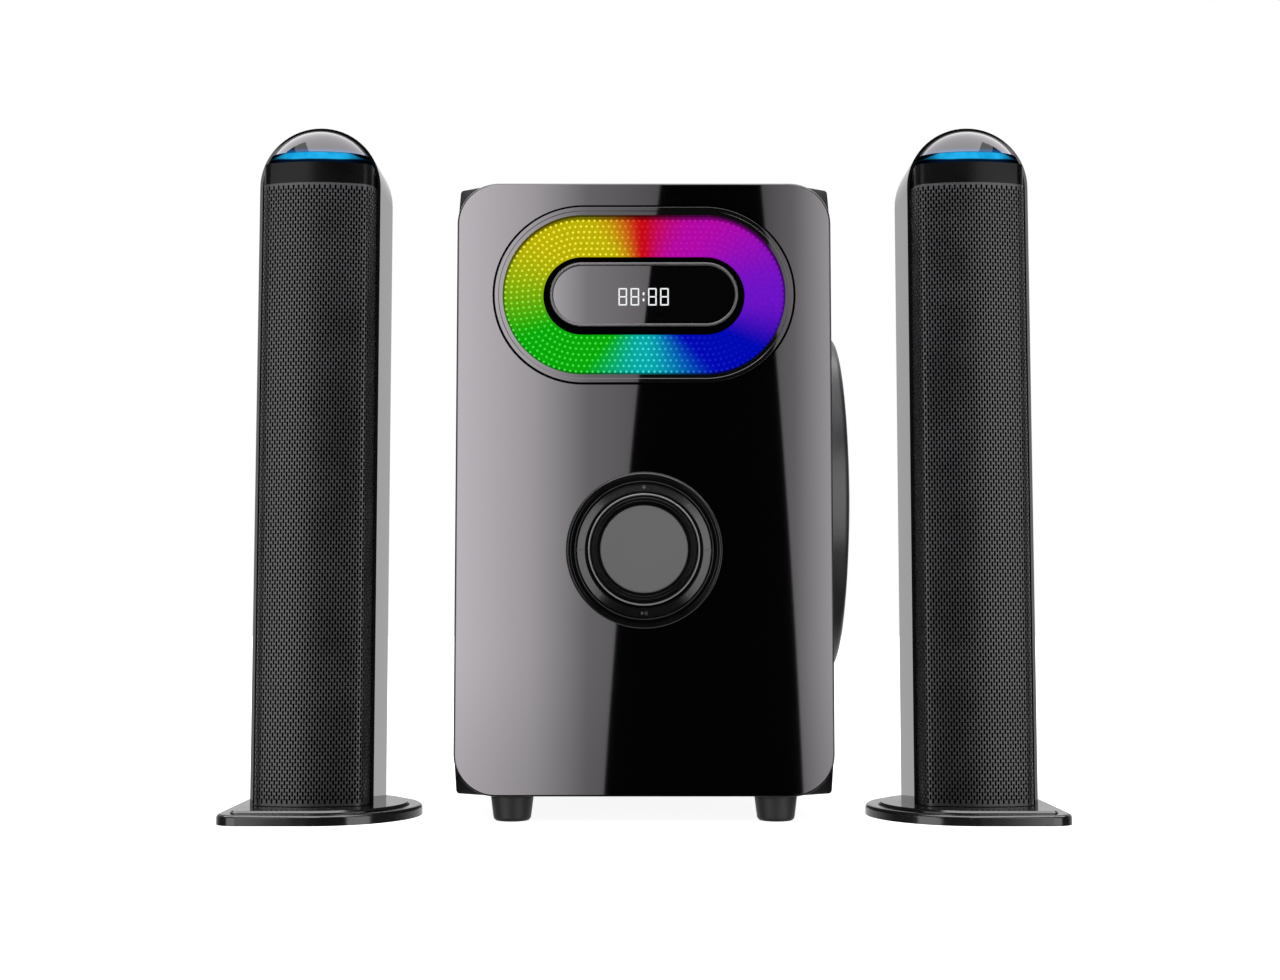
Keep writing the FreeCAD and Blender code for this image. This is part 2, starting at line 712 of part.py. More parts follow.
cabinet_front = depth(D.frame_depth)
cabinet_top = D.panel_bottom + D.cabinet_height
cabinet_half = D.cabinet_width / 2
panel_middle = D.panel_bottom + D.panel_height / 2
plate_half = D.plate_width / 2
plate_back = D.cabinet_back + D.plate_thickness
plate_screw_x = plate_half - D.plate_margin / 2
plate_screw_rows = (D.plate_bottom + D.plate_margin / 2, (D.plate_bottom + D.plate_top) / 2,
                    D.plate_top - D.plate_margin / 2)
plate_screws = [(side * plate_screw_x, row) for side in (-1, 1) for row in plate_screw_rows]
woofer_screws = on_circle(D.woofer_screw_circle, WOOFER_SCREWS, D.woofer_y, D.woofer_z)
ring_opening = stadium(D.ring_opening_width, D.ring_opening_height, 0, D.ring_height)
control_bosses = [(x, D.knob_height + z) for x, z in four_corners(D.control_boss_x, D.control_boss_z)]
light_bosses = [(x, D.ring_height + z) for x, z in four_corners(D.light_boss_x, D.light_boss_z)]
trim_flange_back = D.frame_face_back + D.trim_flange


def make_cabinet():
    """A closed box of thick board, cut for the woofer, the rear plate, the port and wires."""
    wall = D.cabinet_wall
    block = new_body("cabinet_block")
    pad(block, "XY", D.panel_bottom, cabinet_top,
        rounded_box(D.cabinet_width, D.cabinet_back - cabinet_front, D.cabinet_edge,
                    0, (D.cabinet_back + cabinet_front) / 2))
    hollow = box((wall - cabinet_half, cabinet_half - wall),
                 (cabinet_front + wall, D.cabinet_back - wall),
                 (D.panel_bottom + wall, cabinet_top - wall))
    woofer_hole = cylinder("X", D.woofer_cutout, cabinet_half - wall - PAST, cabinet_half + PAST,
                           (D.woofer_y, D.woofer_z))
    back = (D.cabinet_back - wall - PAST, D.cabinet_back + PAST)
    rear_hole = box((D.plate_margin - plate_half, plate_half - D.plate_margin), back,
                    (D.plate_bottom + D.plate_margin, D.plate_top - D.plate_margin))
    port_hole = cylinder("Y", D.port_clear, *back, (size(0), D.port_z))
    wiring_hole = cylinder("Y", D.wiring_hole, cabinet_front - PAST, cabinet_front + wall + PAST,
                           (size(0), D.wiring_height))
    pilots = [cylinder("Y", D.big_screw_pilot, D.cabinet_back - D.big_screw_bite - D.pilot_spare,
                       D.cabinet_back + PAST, spot) for spot in plate_screws]
    pilots += [cylinder("X", D.big_screw_pilot, cabinet_half - D.big_screw_bite - D.pilot_spare,
                        cabinet_half + PAST, spot) for spot in woofer_screws]
    keep("sub_cabinet", cut(block, hollow, woofer_hole, rear_hole, port_hole, wiring_hole, *pilots))


def make_front_frame():
    """The black frame behind the panel: round corners in front, square ones behind."""
    body = new_body("front_frame")
    face = (D.panel_width, D.panel_height)
    loft(body, "XZ", depth(D.panel_thickness), depth(D.frame_square_depth),
         rounded_box(*face, D.panel_corner, 0, panel_middle),
         rounded_box(*face, D.frame_corner, 0, panel_middle))
    pad(body, "XZ", depth(D.frame_square_depth), depth(D.frame_depth),
        rounded_box(*face, D.frame_corner, 0, panel_middle))
    pocket(body, "XZ", depth(D.frame_face_back), depth(D.frame_depth),
           rounded_box(D.panel_width - 2 * D.frame_rim, D.panel_height - 2 * D.frame_rim,
                       D.frame_corner, 0, panel_middle))
    pocket(body, "XZ", depth(D.panel_thickness), depth(D.frame_face_back), ring_opening,
           circle(D.dial_hole, 0, D.knob_height))
    for spots, top in ((control_bosses, D.control_board_front), (light_bosses, trim_flange_back)):
        pad(body, "XZ", depth(D.frame_face_back), depth(top),
            *[circle(D.boss_radius, *spot) for spot in spots])
        pocket(body, "XZ", depth(top - D.small_screw_bite - D.pilot_spare), depth(top),
               *[circle(D.small_screw_pilot, *spot) for spot in spots])
    keep("sub_front_frame", body)


def make_front_panel():
    body = new_body("front_panel")
    pad(body, "XZ", depth(0), depth(D.panel_thickness),
        rounded_box(D.panel_width, D.panel_height, D.panel_corner, 0, panel_middle))
    fillet(body, D.panel_edge, at_level("Y", depth(0)))
    pocket(body, "XZ", depth(0), depth(D.panel_thickness), ring_opening,
           circle(D.dial_hole, 0, D.knob_height))
    keep("sub_front_panel", body)


def make_feet():
    spots = [(side * D.foot_spread, depth(row)) for side in (-1, 1)
             for row in (D.foot_front, D.foot_rear)]
    keep("sub_feet", group(cone("Z", D.foot_bottom, D.foot_top, 0, D.foot_height, spot)
                           for spot in spots))


# ---------------------------------------------------------- the light ring and the display

trim_width = D.ring_opening_width - 2 * D.running_gap
trim_height = D.ring_opening_height - 2 * D.running_gap
lip_width = trim_width - 2 * D.trim_wall
lip_height = trim_height - 2 * (D.trim_wall + D.trim_drop)
diffuser_back = D.diffuser_depth + D.diffuser_thickness
window_width = D.pod_width - 2 * D.pod_lip
window_height = D.pod_height - 2 * D.pod_lip
window_back = D.window_thickness
light_board_back = trim_flange_back + D.board_thickness


def ring_stadium(width, height):
    return stadium(width, height, 0, D.ring_height)


def make_light_trim():
    """The thin collar round the light ring, with a lip in front and a flange behind."""
    body = new_body("trim")
    seat = ring_stadium(lip_width + 2 * D.trim_step, lip_height + 2 * D.trim_step)
    pad(body, "XZ", depth(-D.trim_proud), depth(D.frame_face_back),
        ring_stadium(trim_width, trim_height), ring_stadium(lip_width, lip_height))
    pad(body, "XZ", depth(D.frame_face_back), depth(trim_flange_back),
        ring_stadium(D.trim_flange_width, D.trim_flange_height),
        ring_stadium(lip_width, lip_height))
    pocket(body, "XZ", depth(D.diffuser_depth), depth(trim_flange_back), seat)
    keep("light_trim", body)


def make_diffuser():
    body = new_body("diffuser")
    gap = D.running_gap
    pad(body, "XZ", depth(D.diffuser_depth), depth(diffuser_back),
        ring_stadium(lip_width + 2 * (D.trim_step - gap), lip_height + 2 * (D.trim_step - gap)),
        ring_stadium(D.pod_width + 2 * gap, D.pod_height + 2 * gap))
    keep("light_diffuser", body)


def led_spots():
    """Centres of the diodes along the ring, as (x, z)."""
    half_run = D.led_track_run / 2
    step = D.led_track_run / LED_PER_RUN
    spots = []
    for side in (-1, 1):
        for i in range(LED_PER_RUN):
            along = step * (i + 0.5) - half_run
            spots.append((along, D.ring_height + side * D.led_track_radius))
            turn = math.pi * (i + 0.5) / LED_PER_RUN - math.pi / 2
            spots.append((side * (half_run + D.led_track_radius * math.cos(turn)),
                          D.ring_height + D.led_track_radius * math.sin(turn)))
    return spots


def make_light_board():
    body = new_body("light_board_sheet")
    pad(body, "XZ", depth(trim_flange_back), depth(light_board_back),
        rounded_box(D.light_board_width, D.light_board_height, D.boss_radius, 0, D.ring_height),
        ring_stadium(D.light_board_hole_width, D.light_board_hole_height),
        *[circle(D.small_screw_clear, *spot) for spot in light_bosses])
    half = D.led_size / 2
    leds = [box((x - half, x + half), (depth(trim_flange_back - D.led_height), depth(trim_flange_back)),
                (z - half, z + half)) for x, z in led_spots()]
    keep("light_board", fuse(body, *leds))


def make_display_pod():
    """The raised rim round the display, with a ledge for its window."""
    body = new_body("pod")
    front = depth(-D.pod_proud)
    pad(body, "XZ", front, depth(diffuser_back), ring_stadium(D.pod_width, D.pod_height))
    chamfer(body, D.pod_chamfer, at_level("Y", front))
    back = diffuser_back + D.pod_flange_thickness
    pad(body, "XZ", depth(diffuser_back), depth(back),
        ring_stadium(D.pod_width + 2 * D.pod_flange, D.pod_height + 2 * D.pod_flange))
    pocket(body, "XZ", front, depth(window_back),
           ring_stadium(window_width + 2 * D.running_gap, window_height + 2 * D.running_gap))
    pocket(body, "XZ", depth(window_back), depth(back),
           ring_stadium(window_width - 2 * D.pod_ledge, window_height - 2 * D.pod_ledge))
    keep("display_pod", body)


def make_display_window():
    body = new_body("window")
    pad(body, "XZ", depth(0), depth(window_back), ring_stadium(window_width, window_height))
    keep("display_window", body)


def centred(width, middle=0):
    return (middle - width / 2, middle + width / 2)


def make_display_module():
    board_front = trim_flange_back - D.board_thickness
    digits = box(centred(D.digits_width), (depth(window_back), depth(board_front)),
                 centred(D.digits_height, D.ring_height))
    board = box(centred(D.display_board_width), (depth(board_front), depth(trim_flange_back)),
                centred(D.display_board_height, D.ring_height))
    keep("display_module", fuse(digits, board))


# ------------------------------------------------------------------------- the volume knob
# These pieces are turned about the knob's axis. Their own Z points out of the panel, so a
# height is how far something stands proud of it, and a depth is a negative height.

key_posts = on_circle(D.key_post_circle, KEY_POSTS, start=math.pi / KEY_POSTS)


def on_knob_axis(name, body):
    keep(name, place(body, 0, D.panel_front, D.knob_height, FACING_FRONT))


def make_control_bezel():
    """A cup in the panel that holds the key ring and the knob."""
    body = new_body("bezel")
    sleeve = D.dial_hole - D.running_gap
    edge = D.bezel_edge
    back = -D.bezel_floor - D.bezel_floor_thickness
    revolve(body, (D.bezel_shaft_hole, back), (sleeve, back), (sleeve, 0), (D.bezel_outer, 0),
            (D.bezel_outer, D.bezel_proud - edge), (D.bezel_outer - edge, D.bezel_proud),
            (D.bezel_inner + edge, D.bezel_proud), (D.bezel_inner, D.bezel_proud - edge),
            (D.bezel_inner, -D.bezel_floor), (D.bezel_shaft_hole, -D.bezel_floor))
    pocket(body, "XY", back, -D.bezel_floor, *[circle(D.key_post_hole, *spot) for spot in key_posts])
    on_knob_axis("control_bezel", body)


def make_key_ring():
    """The ring of keys round the knob; each post works a switch."""
    body = new_body("keys")
    revolve(body, (D.key_inner, -D.key_back), (D.key_outer, -D.key_back), (D.key_outer, 0),
            (D.key_inner, -D.key_dish))
    pad(body, "XY", -D.key_post_end, -D.key_back, *[circle(D.key_post, *spot) for spot in key_posts])
    on_knob_axis("key_ring", body)


shaft_top = D.knob_seat - D.knob_back


def make_knob():
    body = new_body("knob")
    bore = D.shaft_radius + D.shaft_gap
    inner = D.knob_radius - D.knob_wall
    revolve(body, (bore, -D.knob_back), (D.knob_boss, -D.knob_back), (D.knob_boss, shaft_top),
            (inner, shaft_top), (inner, -D.knob_back), (D.knob_radius, -D.knob_back),
            (D.knob_radius, D.knob_shoulder), (D.knob_rim_outer, D.knob_proud),
            (D.knob_rim_inner, D.knob_proud), (D.knob_seat_radius, D.knob_seat),
            (0, D.knob_seat), (0, shaft_top), (bore, shaft_top))
    on_knob_axis("volume_knob", body)


def make_knob_cap():
    body = new_body("cap")
    rise = D.cap_thickness / 2
    revolve(body, (0, D.knob_seat), (D.cap_radius, D.knob_seat), (D.cap_radius, D.knob_seat + rise),
            (D.cap_radius - rise, D.knob_seat + D.cap_thickness), (0, D.knob_seat + D.cap_thickness))
    on_knob_axis("knob_cap", body)


def make_encoder():
    axis = (size(0), D.knob_height)
    front, back = depth(D.bezel_floor + D.bezel_floor_thickness), depth(D.control_board_front)
    block = box(centred(D.encoder_size), (front, back), centred(D.encoder_size, D.knob_height))
    bore = cylinder("Y", D.shaft_radius + D.shaft_bearing_gap, front - PAST, back + PAST, axis)
    keep("encoder", cut(block, bore))
    keep("encoder_shaft", cylinder("Y", D.shaft_radius, depth(-shaft_top), depth(D.shaft_end), axis))


def make_control_board():
    body = new_body("control_board_sheet")
    front = depth(D.control_board_front)
    pad(body, "XZ", front, front + D.board_thickness,
        rounded_box(D.control_board_width, D.control_board_height, D.boss_radius, 0, D.knob_height),
        *[circle(D.small_screw_clear, *spot) for spot in control_bosses])
    switches = [box(centred(D.switch_size, x), (front - D.switch_height, front),
                    centred(D.switch_size, D.knob_height + z)) for x, z in key_posts]
    keep("control_board", fuse(body, *switches))


def make_board_screws():
    screws = []
    for spots, board_back in ((control_bosses, D.control_board_front + D.board_thickness),
                              (light_bosses, light_board_back)):
        screws += [screw("Y", depth(board_back), -1, spot, D.small_screw,
                         D.small_screw_bite + D.board_thickness, D.small_screw_head,
                         D.small_screw_head_height) for spot in spots]
    keep("board_screws", group(screws))


# ----------------------------------------------------------------------------- the woofer
# Turned about the woofer's axis. Their own Z points out of the cabinet's right side.

FACING_RIGHT = Rotation(Vector(0, 1, 0), 90)


def on_woofer_axis(name, item):
    keep(name, place(item, cabinet_half, D.woofer_y, D.woofer_z, FACING_RIGHT))


def make_basket():
    """A flanged basket: a rim, a conical cage with four legs, and a floor for the magnet."""
    body = new_body("basket")
    outer = D.basket_inner + D.basket_wall
    floor_back = -D.basket_floor - D.basket_floor_thickness
    inner_floor = D.basket_floor_radius - D.basket_wall
    revolve(body, (D.flange_radius, 0), (D.flange_radius, D.flange_thickness),
            (D.seat_radius, D.flange_thickness), (D.seat_radius, -D.seat_depth),
            (D.basket_inner, -D.seat_depth), (D.basket_inner, -D.basket_knee),
            (inner_floor, -D.basket_floor), (D.magnet_bore, -D.basket_floor),
            (D.magnet_bore, floor_back), (D.basket_floor_radius, floor_back),
            (D.basket_floor_radius, -D.basket_floor), (outer, -D.basket_knee), (outer, 0))
    window = D.basket_window / 2
    arms = path((-window, -window), (-window, -outer), (window, -outer), (window, -window),
                (outer, -window), (outer, window), (window, window), (window, outer),
                (-window, outer), (-window, window), (-outer, window), (-outer, -window))
    pocket(body, "XY", D.basket_window_floor - D.basket_floor, -D.basket_knee - D.basket_window_knee, arms)
    pocket(body, "XY", 0, D.flange_thickness,
           *[circle(D.big_screw_clear, *spot)
             for spot in on_circle(D.woofer_screw_circle, WOOFER_SCREWS, start=math.pi / 2)])
    on_woofer_axis("woofer_basket", body)


def make_magnet():
    body = new_body("magnet")
    front = -D.basket_floor - D.basket_floor_thickness
    gap_end = front - D.magnet_thickness
    back = gap_end - D.magnet_plate
    revolve(body, (0, back), (D.magnet_radius, back), (D.magnet_radius, front), (D.magnet_bore, front),
            (D.magnet_bore, gap_end), (D.pole_radius, gap_end), (D.pole_radius, front + D.pole_proud),
            (0, front + D.pole_proud))
    on_woofer_axis("woofer_magnet", body)


def make_woofer_cone():
    body = new_body("cone")
    former_outer = D.former_inner + D.former_wall
    neck_back = -D.cone_neck_depth - D.cone_thickness
    revolve(body, (D.cone_edge, -D.seat_depth - D.cone_thickness), (D.cone_edge, -D.seat_depth),
            (D.former_inner, -D.cone_neck_depth), (D.former_inner, -D.former_end),
            (former_outer, -D.former_end), (former_outer, neck_back))
    on_woofer_axis("woofer_cone", body)


def dome_centre(base, rise, top):
    """Height of the centre of the arc that crosses the axis at the top and ends at the base."""
    return top - (base * base + rise * rise) / (2 * rise)


def make_dust_cap():
    body = new_body("dust_cap")
    top = D.dust_cap_rise - D.dust_cap_depth
    inner_top = top - D.dust_cap_wall
    centre = dome_centre(D.dust_cap_radius, D.dust_cap_rise, top)
    inner_radius = inner_top - centre
    inner_edge = root(inner_radius * inner_radius - (D.dust_cap_depth + centre) * (D.dust_cap_depth + centre))
    revolve(body, (0, inner_top, 0, centre, -1), (inner_edge, -D.dust_cap_depth),
            (D.dust_cap_radius, -D.dust_cap_depth, 0, centre, 1), (0, top))
    on_woofer_axis("woofer_dust_cap", body)


def make_surround():
    """The half roll of rubber between the cone and the basket."""
    body = new_body("surround")
    foot = -D.seat_depth
    inner = D.roll_radius - D.roll_wall
    revolve(body, (D.roll_middle - inner, foot, D.roll_middle, foot, -1),
            (D.roll_middle + inner, foot), (D.roll_middle + D.roll_radius, foot, D.roll_middle, foot, 1),
            (D.roll_middle - D.roll_radius, foot))
    on_woofer_axis("woofer_surround", body)


def make_spider():
    body = new_body("spider")
    bore = D.former_inner + D.former_wall + D.spider_gap
    half = D.spider_thickness / 2
    revolve(body, (bore, -D.spider_depth - half), (D.spider_outer, -D.spider_depth - half),
            (D.spider_outer, half - D.spider_depth), (bore, half - D.spider_depth))
    on_woofer_axis("woofer_spider", body)


def make_woofer_grille():
    """A shallow dome of sheet over the woofer."""
    body = new_body("dome")
    wall = D.dome_wall
    inner_height = D.dome_height - wall
    inner_shoulder = D.dome_shoulder - wall
    inner_shoulder_height = D.dome_shoulder_height - wall / 2
    crown = dome_centre(D.dome_shoulder, D.dome_height - D.dome_shoulder_height, D.dome_height)
    inner_crown = dome_centre(inner_shoulder, inner_height - inner_shoulder_height, inner_height)
    revolve(body, (D.dome_base - wall, 0), (D.dome_base, 0),
            (D.dome_shoulder, D.dome_shoulder_height, 0, crown, 1), (0, D.dome_height),
            (0, inner_height, 0, inner_crown, -1), (inner_shoulder, inner_shoulder_height))
    on_woofer_axis("woofer_grille", body)


def make_cabinet_screws():
    size_of_screw = (D.big_screw_head, D.big_screw_head_height)
    screws = [screw("X", cabinet_half + D.flange_thickness, -1, spot, D.big_screw,
                    D.big_screw_bite + D.flange_thickness, *size_of_screw) for spot in woofer_screws]
    screws += [screw("Y", plate_back, -1, spot, D.big_screw, D.big_screw_bite + D.plate_thickness,
                     *size_of_screw) for spot in plate_screws]
    keep("cabinet_screws", group(screws))


# --------------------------------------------------------- the rear plate and its sockets

amp_back = D.amp_front + D.board_thickness
amp_bosses = [(side * D.amp_boss_x, row) for side in (-1, 1)
              for row in (D.amp_bottom + D.amp_boss_inset, D.amp_top - D.amp_boss_inset)]
jack_spots = [(D.jack_pitch * (i - (LINE_SOCKETS - 1) / 2), D.jack_z) for i in range(LINE_SOCKETS)]
housing_half_width = D.rocker_width / 2 + D.rocker_gap + D.housing_wall
housing_half_height = D.housing_cavity / 2 + D.housing_wall


def make_rear_plate():
    """The metal plate at the back, with standoffs for the amplifier board."""
    body = new_body("plate")
    gap = D.running_gap
    openings = [circle(D.big_screw_clear, *spot) for spot in plate_screws]
    openings += [circle(D.jack_clear, *spot) for spot in jack_spots]
    openings.append(rounded_box(D.inlet_width + 2 * gap, D.inlet_height + 2 * gap, D.inlet_corner,
                                D.inlet_x, D.mains_z))
    openings.append(rounded_box(2 * (housing_half_width + gap), 2 * (housing_half_height + gap),
                                D.inlet_corner, D.rocker_x, D.mains_z))
    pad(body, "XZ", D.cabinet_back, plate_back,
        rounded_box(D.plate_width, D.plate_top - D.plate_bottom, D.plate_corner, 0,
                    (D.plate_top + D.plate_bottom) / 2), *openings)
    pad(body, "XZ", amp_back, D.cabinet_back, *[circle(D.boss_radius, *spot) for spot in amp_bosses])
    keep("rear_plate", body)


def make_amp_board():
    """The amplifier board, with capacitors, a finned heat sink and wire connectors."""
    front = D.amp_front
    board = box(centred(D.amp_width), (front, amp_back), (D.amp_bottom, D.amp_top))
    pieces = [board]
    for i in range(CAPACITORS):
        x = D.capacitor_pitch * (i - (CAPACITORS - 1) / 2)
        pieces.append(cylinder("Y", D.capacitor_radius, front - D.capacitor_height, front,
                               (x, D.amp_bottom + D.capacitor_rise)))
    sink_low = D.amp_top - 2 * D.heatsink_height
    sink_high = sink_low + D.heatsink_height
    pieces.append(box(centred(D.heatsink_width), (front - 2 * D.heatsink_fin, front),
                      (sink_low, sink_high)))
    pitch = (D.heatsink_width - D.heatsink_fin) / (HEATSINK_FINS - 1)
    for i in range(HEATSINK_FINS):
        low = i * pitch - D.heatsink_width / 2
        pieces.append(box((low, low + D.heatsink_fin), (front - D.heatsink_depth, front),
                          (sink_low, sink_high)))
    connector = D.jack_body
    for side in (-1, 1):
        pieces.append(box(centred(connector, side * D.connector_x), (front - connector, front),
                          (sink_low - 2 * connector, sink_low - connector)))
    keep("amp_board", fuse(*pieces))


def make_jacks():
    """Line sockets: a square body on the board and a barrel through the plate."""
    sockets = []
    end = plate_back + D.jack_length
    for x, z in jack_spots:
        block = box(centred(D.jack_body, x), (amp_back, D.cabinet_back), centred(D.jack_body, z))
        stem = cylinder("Y", D.jack_stem, D.cabinet_back - D.jack_root, end, (x, z))
        barrel = cylinder("Y", D.jack_barrel, plate_back + D.jack_standoff, end, (x, z))
        bore = cylinder("Y", D.jack_bore, plate_back, end + PAST, (x, z))
        sockets.append(cut(fuse(block, stem, barrel), bore))
    keep("rca_jacks", group(sockets))


def make_inlet():
    """The two-pin mains inlet."""
    body = new_body("inlet")
    middle = (D.inlet_x, D.mains_z)
    face = plate_back + D.inlet_flange
    pad(body, "XZ", plate_back - D.inlet_depth, plate_back,
        rounded_box(D.inlet_width, D.inlet_height, D.inlet_corner, *middle))
    pad(body, "XZ", plate_back, face,
        rounded_box(D.inlet_width + 2 * D.inlet_lip, D.inlet_height + 2 * D.inlet_lip,
                    2 * D.inlet_corner, *middle))
    floor = face - D.recess_depth
    pocket(body, "XZ", floor, face, stadium(D.recess_width, D.recess_height, *middle))
    pad(body, "XZ", floor, floor + D.contact_length,
        *[circle(D.contact_radius, D.inlet_x + side * D.contact_spread, D.mains_z) for side in (-1, 1)])
    keep("mains_inlet", body)


def make_rocker_housing():
    body = new_body("housing")
    middle = (D.rocker_x, D.mains_z)
    width, height = 2 * housing_half_width, 2 * housing_half_height
    face = plate_back + D.housing_lip
    pad(body, "XZ", plate_back - D.housing_depth, plate_back,
        rounded_box(width, height, D.inlet_corner, *middle))
    pad(body, "XZ", plate_back, face,
        rounded_box(width + 2 * D.housing_lip, height + 2 * D.housing_lip, D.inlet_corner, *middle))
    side = D.rocker_width / 2 + D.rocker_gap
    reach = D.housing_cavity / 2
    pocket(body, "XZ", D.cabinet_back - D.housing_floor, face,
           rectangle(D.rocker_x - side, D.rocker_x + side, D.mains_z - reach, D.mains_z + reach))
    pocket(body, "YZ", D.rocker_x - housing_half_width, D.rocker_x + housing_half_width,
           circle(D.rocker_pin + D.rocker_pin_gap, D.cabinet_back, D.mains_z))
    keep("rocker_housing", body)


def make_rocker():
    """The power rocker, tipped onto its lower half, on a pivot along X."""
    cosine, sine = math.cos(ROCKER_TILT), math.sin(ROCKER_TILT)

    def tipped(out, up):
        out, up = size(out), size(up)
        return (D.cabinet_back + out * cosine - up * sine, D.mains_z + out * sine + up * cosine)

    body = new_body("rocker")
    half = D.rocker_width / 2
    pad(body, "YZ", D.rocker_x - half, D.rocker_x + half,
        path(tipped(-D.rocker_back, -D.rocker_back_reach), tipped(D.rocker_front, -D.rocker_reach),
             tipped(D.rocker_valley, 0), tipped(D.rocker_front, D.rocker_reach),
             tipped(-D.rocker_back, D.rocker_back_reach)))
    pin = half + D.rocker_gap + D.housing_wall / 2
    pad(body, "YZ", D.rocker_x - pin, D.rocker_x + pin,
        circle(D.rocker_pin, D.cabinet_back, D.mains_z))
    keep("power_rocker", body)


def make_port():
    """The bass port: a tube through the cabinet's back with a flared mouth."""
    body = new_body("port")
    thickness = D.plate_thickness
    flare = D.port_flare
    revolve(body, (D.port_inner, -D.port_length), (D.port_outer, -D.port_length), (D.port_outer, 0),
            (D.port_flange, 0), (D.port_flange, thickness), (D.port_inner + flare, thickness,
             D.port_inner + flare, thickness - flare, 1), (D.port_inner, thickness - flare))
    keep("bass_port", place(body, 0, D.cabinet_back, D.port_z, Rotation(Vector(1, 0, 0), -90)))


def make_transformer():
    """A laminated core with its windings, on the cabinet's floor."""
    floor = D.panel_bottom + D.cabinet_wall
    core = box(centred(D.core_width, D.transformer_x), centred(D.core_depth, D.transformer_y),
               (floor, floor + D.core_height))
    low = floor + (D.core_height - D.coil_height) / 2
    coil = box(centred(D.coil_width, D.transformer_x), centred(D.coil_depth, D.transformer_y),
               (low, low + D.coil_height))
    keep("transformer", fuse(core, coil))


# ----------------------------------------------------------------------------- the towers

front_plate_back = D.rim_depth + D.front_plate
tower_screws = [(side * D.tower_screw_x, behind(row)) for side in (-1, 1)
                for row in (D.tower_screw_front, D.tower_screw_rear)]


def grille_outline(inset):
    """The grille's section: leaning sides, round corners and a crowned face, all tangent.
    The inset gives the parallel outline inside it."""
    lean = D.grille_lean
    norm = root(1 + lean * lean)
    crown_radius = D.grille_crown - inset
    corner_radius = D.grille_corner - inset
    foot_x = D.grille_foot - inset * norm
    foot_y = behind(D.rim_depth)
    crown_y = behind(D.grille_front + D.grille_crown)
    start_x = foot_x - corner_radius / norm
    start_y = foot_y + corner_radius * lean / norm - crown_y
    reach = crown_radius - corner_radius
    along = (start_x * lean + start_y) / norm
    slide = along + root(along * along - start_x * start_x - start_y * start_y + reach * reach)
    corner_x = start_x - slide * lean / norm
    corner_y = start_y - slide / norm + crown_y
    side_x = foot_x - slide * lean / norm
    side_y = foot_y - slide / norm
    face_x = corner_x * crown_radius / reach
    face_y = crown_y + (corner_y - crown_y) * crown_radius / reach
    return path((-foot_x, foot_y), (-side_x, side_y, -corner_x, corner_y, 1),
                (-face_x, face_y, 0, crown_y, 1), (face_x, face_y, corner_x, corner_y, 1),
                (side_x, side_y), (foot_x, foot_y))


def base_outline(inset, inward):
    """A base with two round corners at its outer end and a half-round inner end.
    Inward is 1 where the middle of the set lies on the base's right, and -1 on its left."""
    front = behind(D.base_front) + inset
    back = behind(D.base_back) - inset
    front_corner = behind(D.base_front) + D.base_corner
    back_corner = behind(D.base_back) - D.base_corner
    outer = -inward * (D.base_outer - inset)
    corner_x = -inward * (D.base_outer - D.base_corner)
    bulge_x = inward * D.base_bulge
    return path((corner_x, front), (bulge_x, front, bulge_x, (front + back) / 2, inward), (bulge_x, back),
                (corner_x, back, corner_x, back_corner, inward), (outer, back_corner),
                (outer, front_corner, corner_x, front_corner, inward))


def make_base_plate(inward):
    body = new_body("base")
    pad(body, "XY", 0, D.base_thickness, base_outline(0, inward))
    fillet(body, D.base_round, at_level("Z", D.base_thickness))
    pad(body, "XY", D.base_thickness, D.plateau_top, base_outline(D.plateau_inset, inward))
    chamfer(body, D.plateau_edge, at_level("Z", D.plateau_top))
    pocket(body, "XY", D.tower_seat, D.plateau_top, *[circle(D.tower_clear, *spot) for spot in tower_screws])
    pocket(body, "XY", 0, D.tower_seat, *[circle(D.tower_counterbore, *spot) for spot in tower_screws])
    return body


def make_base_screws():
    return group(screw("Z", D.tower_seat, 1, spot, D.tower_screw, D.tower_screw_end - D.tower_seat,
                       D.tower_head, D.tower_head_height) for spot in tower_screws)


def make_shell():
    """The tower's back: an arched tub with rounded back edges, bosses and a socket hole."""
    body = new_body("shell")
    inner = D.arch_radius - D.shell_wall
    back = behind(D.shell_depth)
    pad(body, "XZ", behind(D.front_depth), back, arch(D.arch_radius, D.plateau_top))
    edge_test = at_level("Y", back)
    foot = D.plateau_top.value
    fillet(body, D.shell_round, lambda bounds: edge_test(bounds) and bounds.ZMax > foot + PAST)
    floor = D.plateau_top + D.shell_wall
    inside_back = back - D.shell_wall
    pocket(body, "XZ", behind(D.front_depth), inside_back, arch(inner, floor))
    pad(body, "XY", floor, D.tower_boss_top, *[circle(D.tower_boss, *spot) for spot in tower_screws])
    pocket(body, "XY", D.plateau_top, D.tower_boss_top,
           *[circle(D.tower_pilot, *spot) for spot in tower_screws])
    pocket(body, "XZ", inside_back, back, circle(D.jack_clear, 0, D.tower_jack_z))
    return body


def make_tower_front():
    """The arched front frame: a rim round a recess, and a plate with the drivers' holes."""
    body = new_body("tower_front")
    bottom = D.plateau_top
    inner = D.arch_radius - D.rim_width
    pad(body, "XZ", behind(0), behind(D.front_depth), arch(D.arch_radius, bottom))
    pocket(body, "XZ", behind(0), behind(D.rim_depth), arch(inner, bottom - PAST))
    pocket(body, "XZ", behind(front_plate_back), behind(D.front_depth),
           arch(inner, bottom + D.rim_width))
    pocket(body, "XZ", behind(D.rim_depth), behind(front_plate_back),
           *[circle(D.driver_cutout, 0, level) for level in (D.driver_upper_z, D.driver_lower_z)])
    return body


def make_tower_grille():
    body = new_body("grille")
    pad(body, "XY", D.grille_bottom, D.grille_top, grille_outline(0))
    pocket(body, "XY", D.grille_bottom, D.grille_top, grille_outline(D.grille_sheet))
    return body


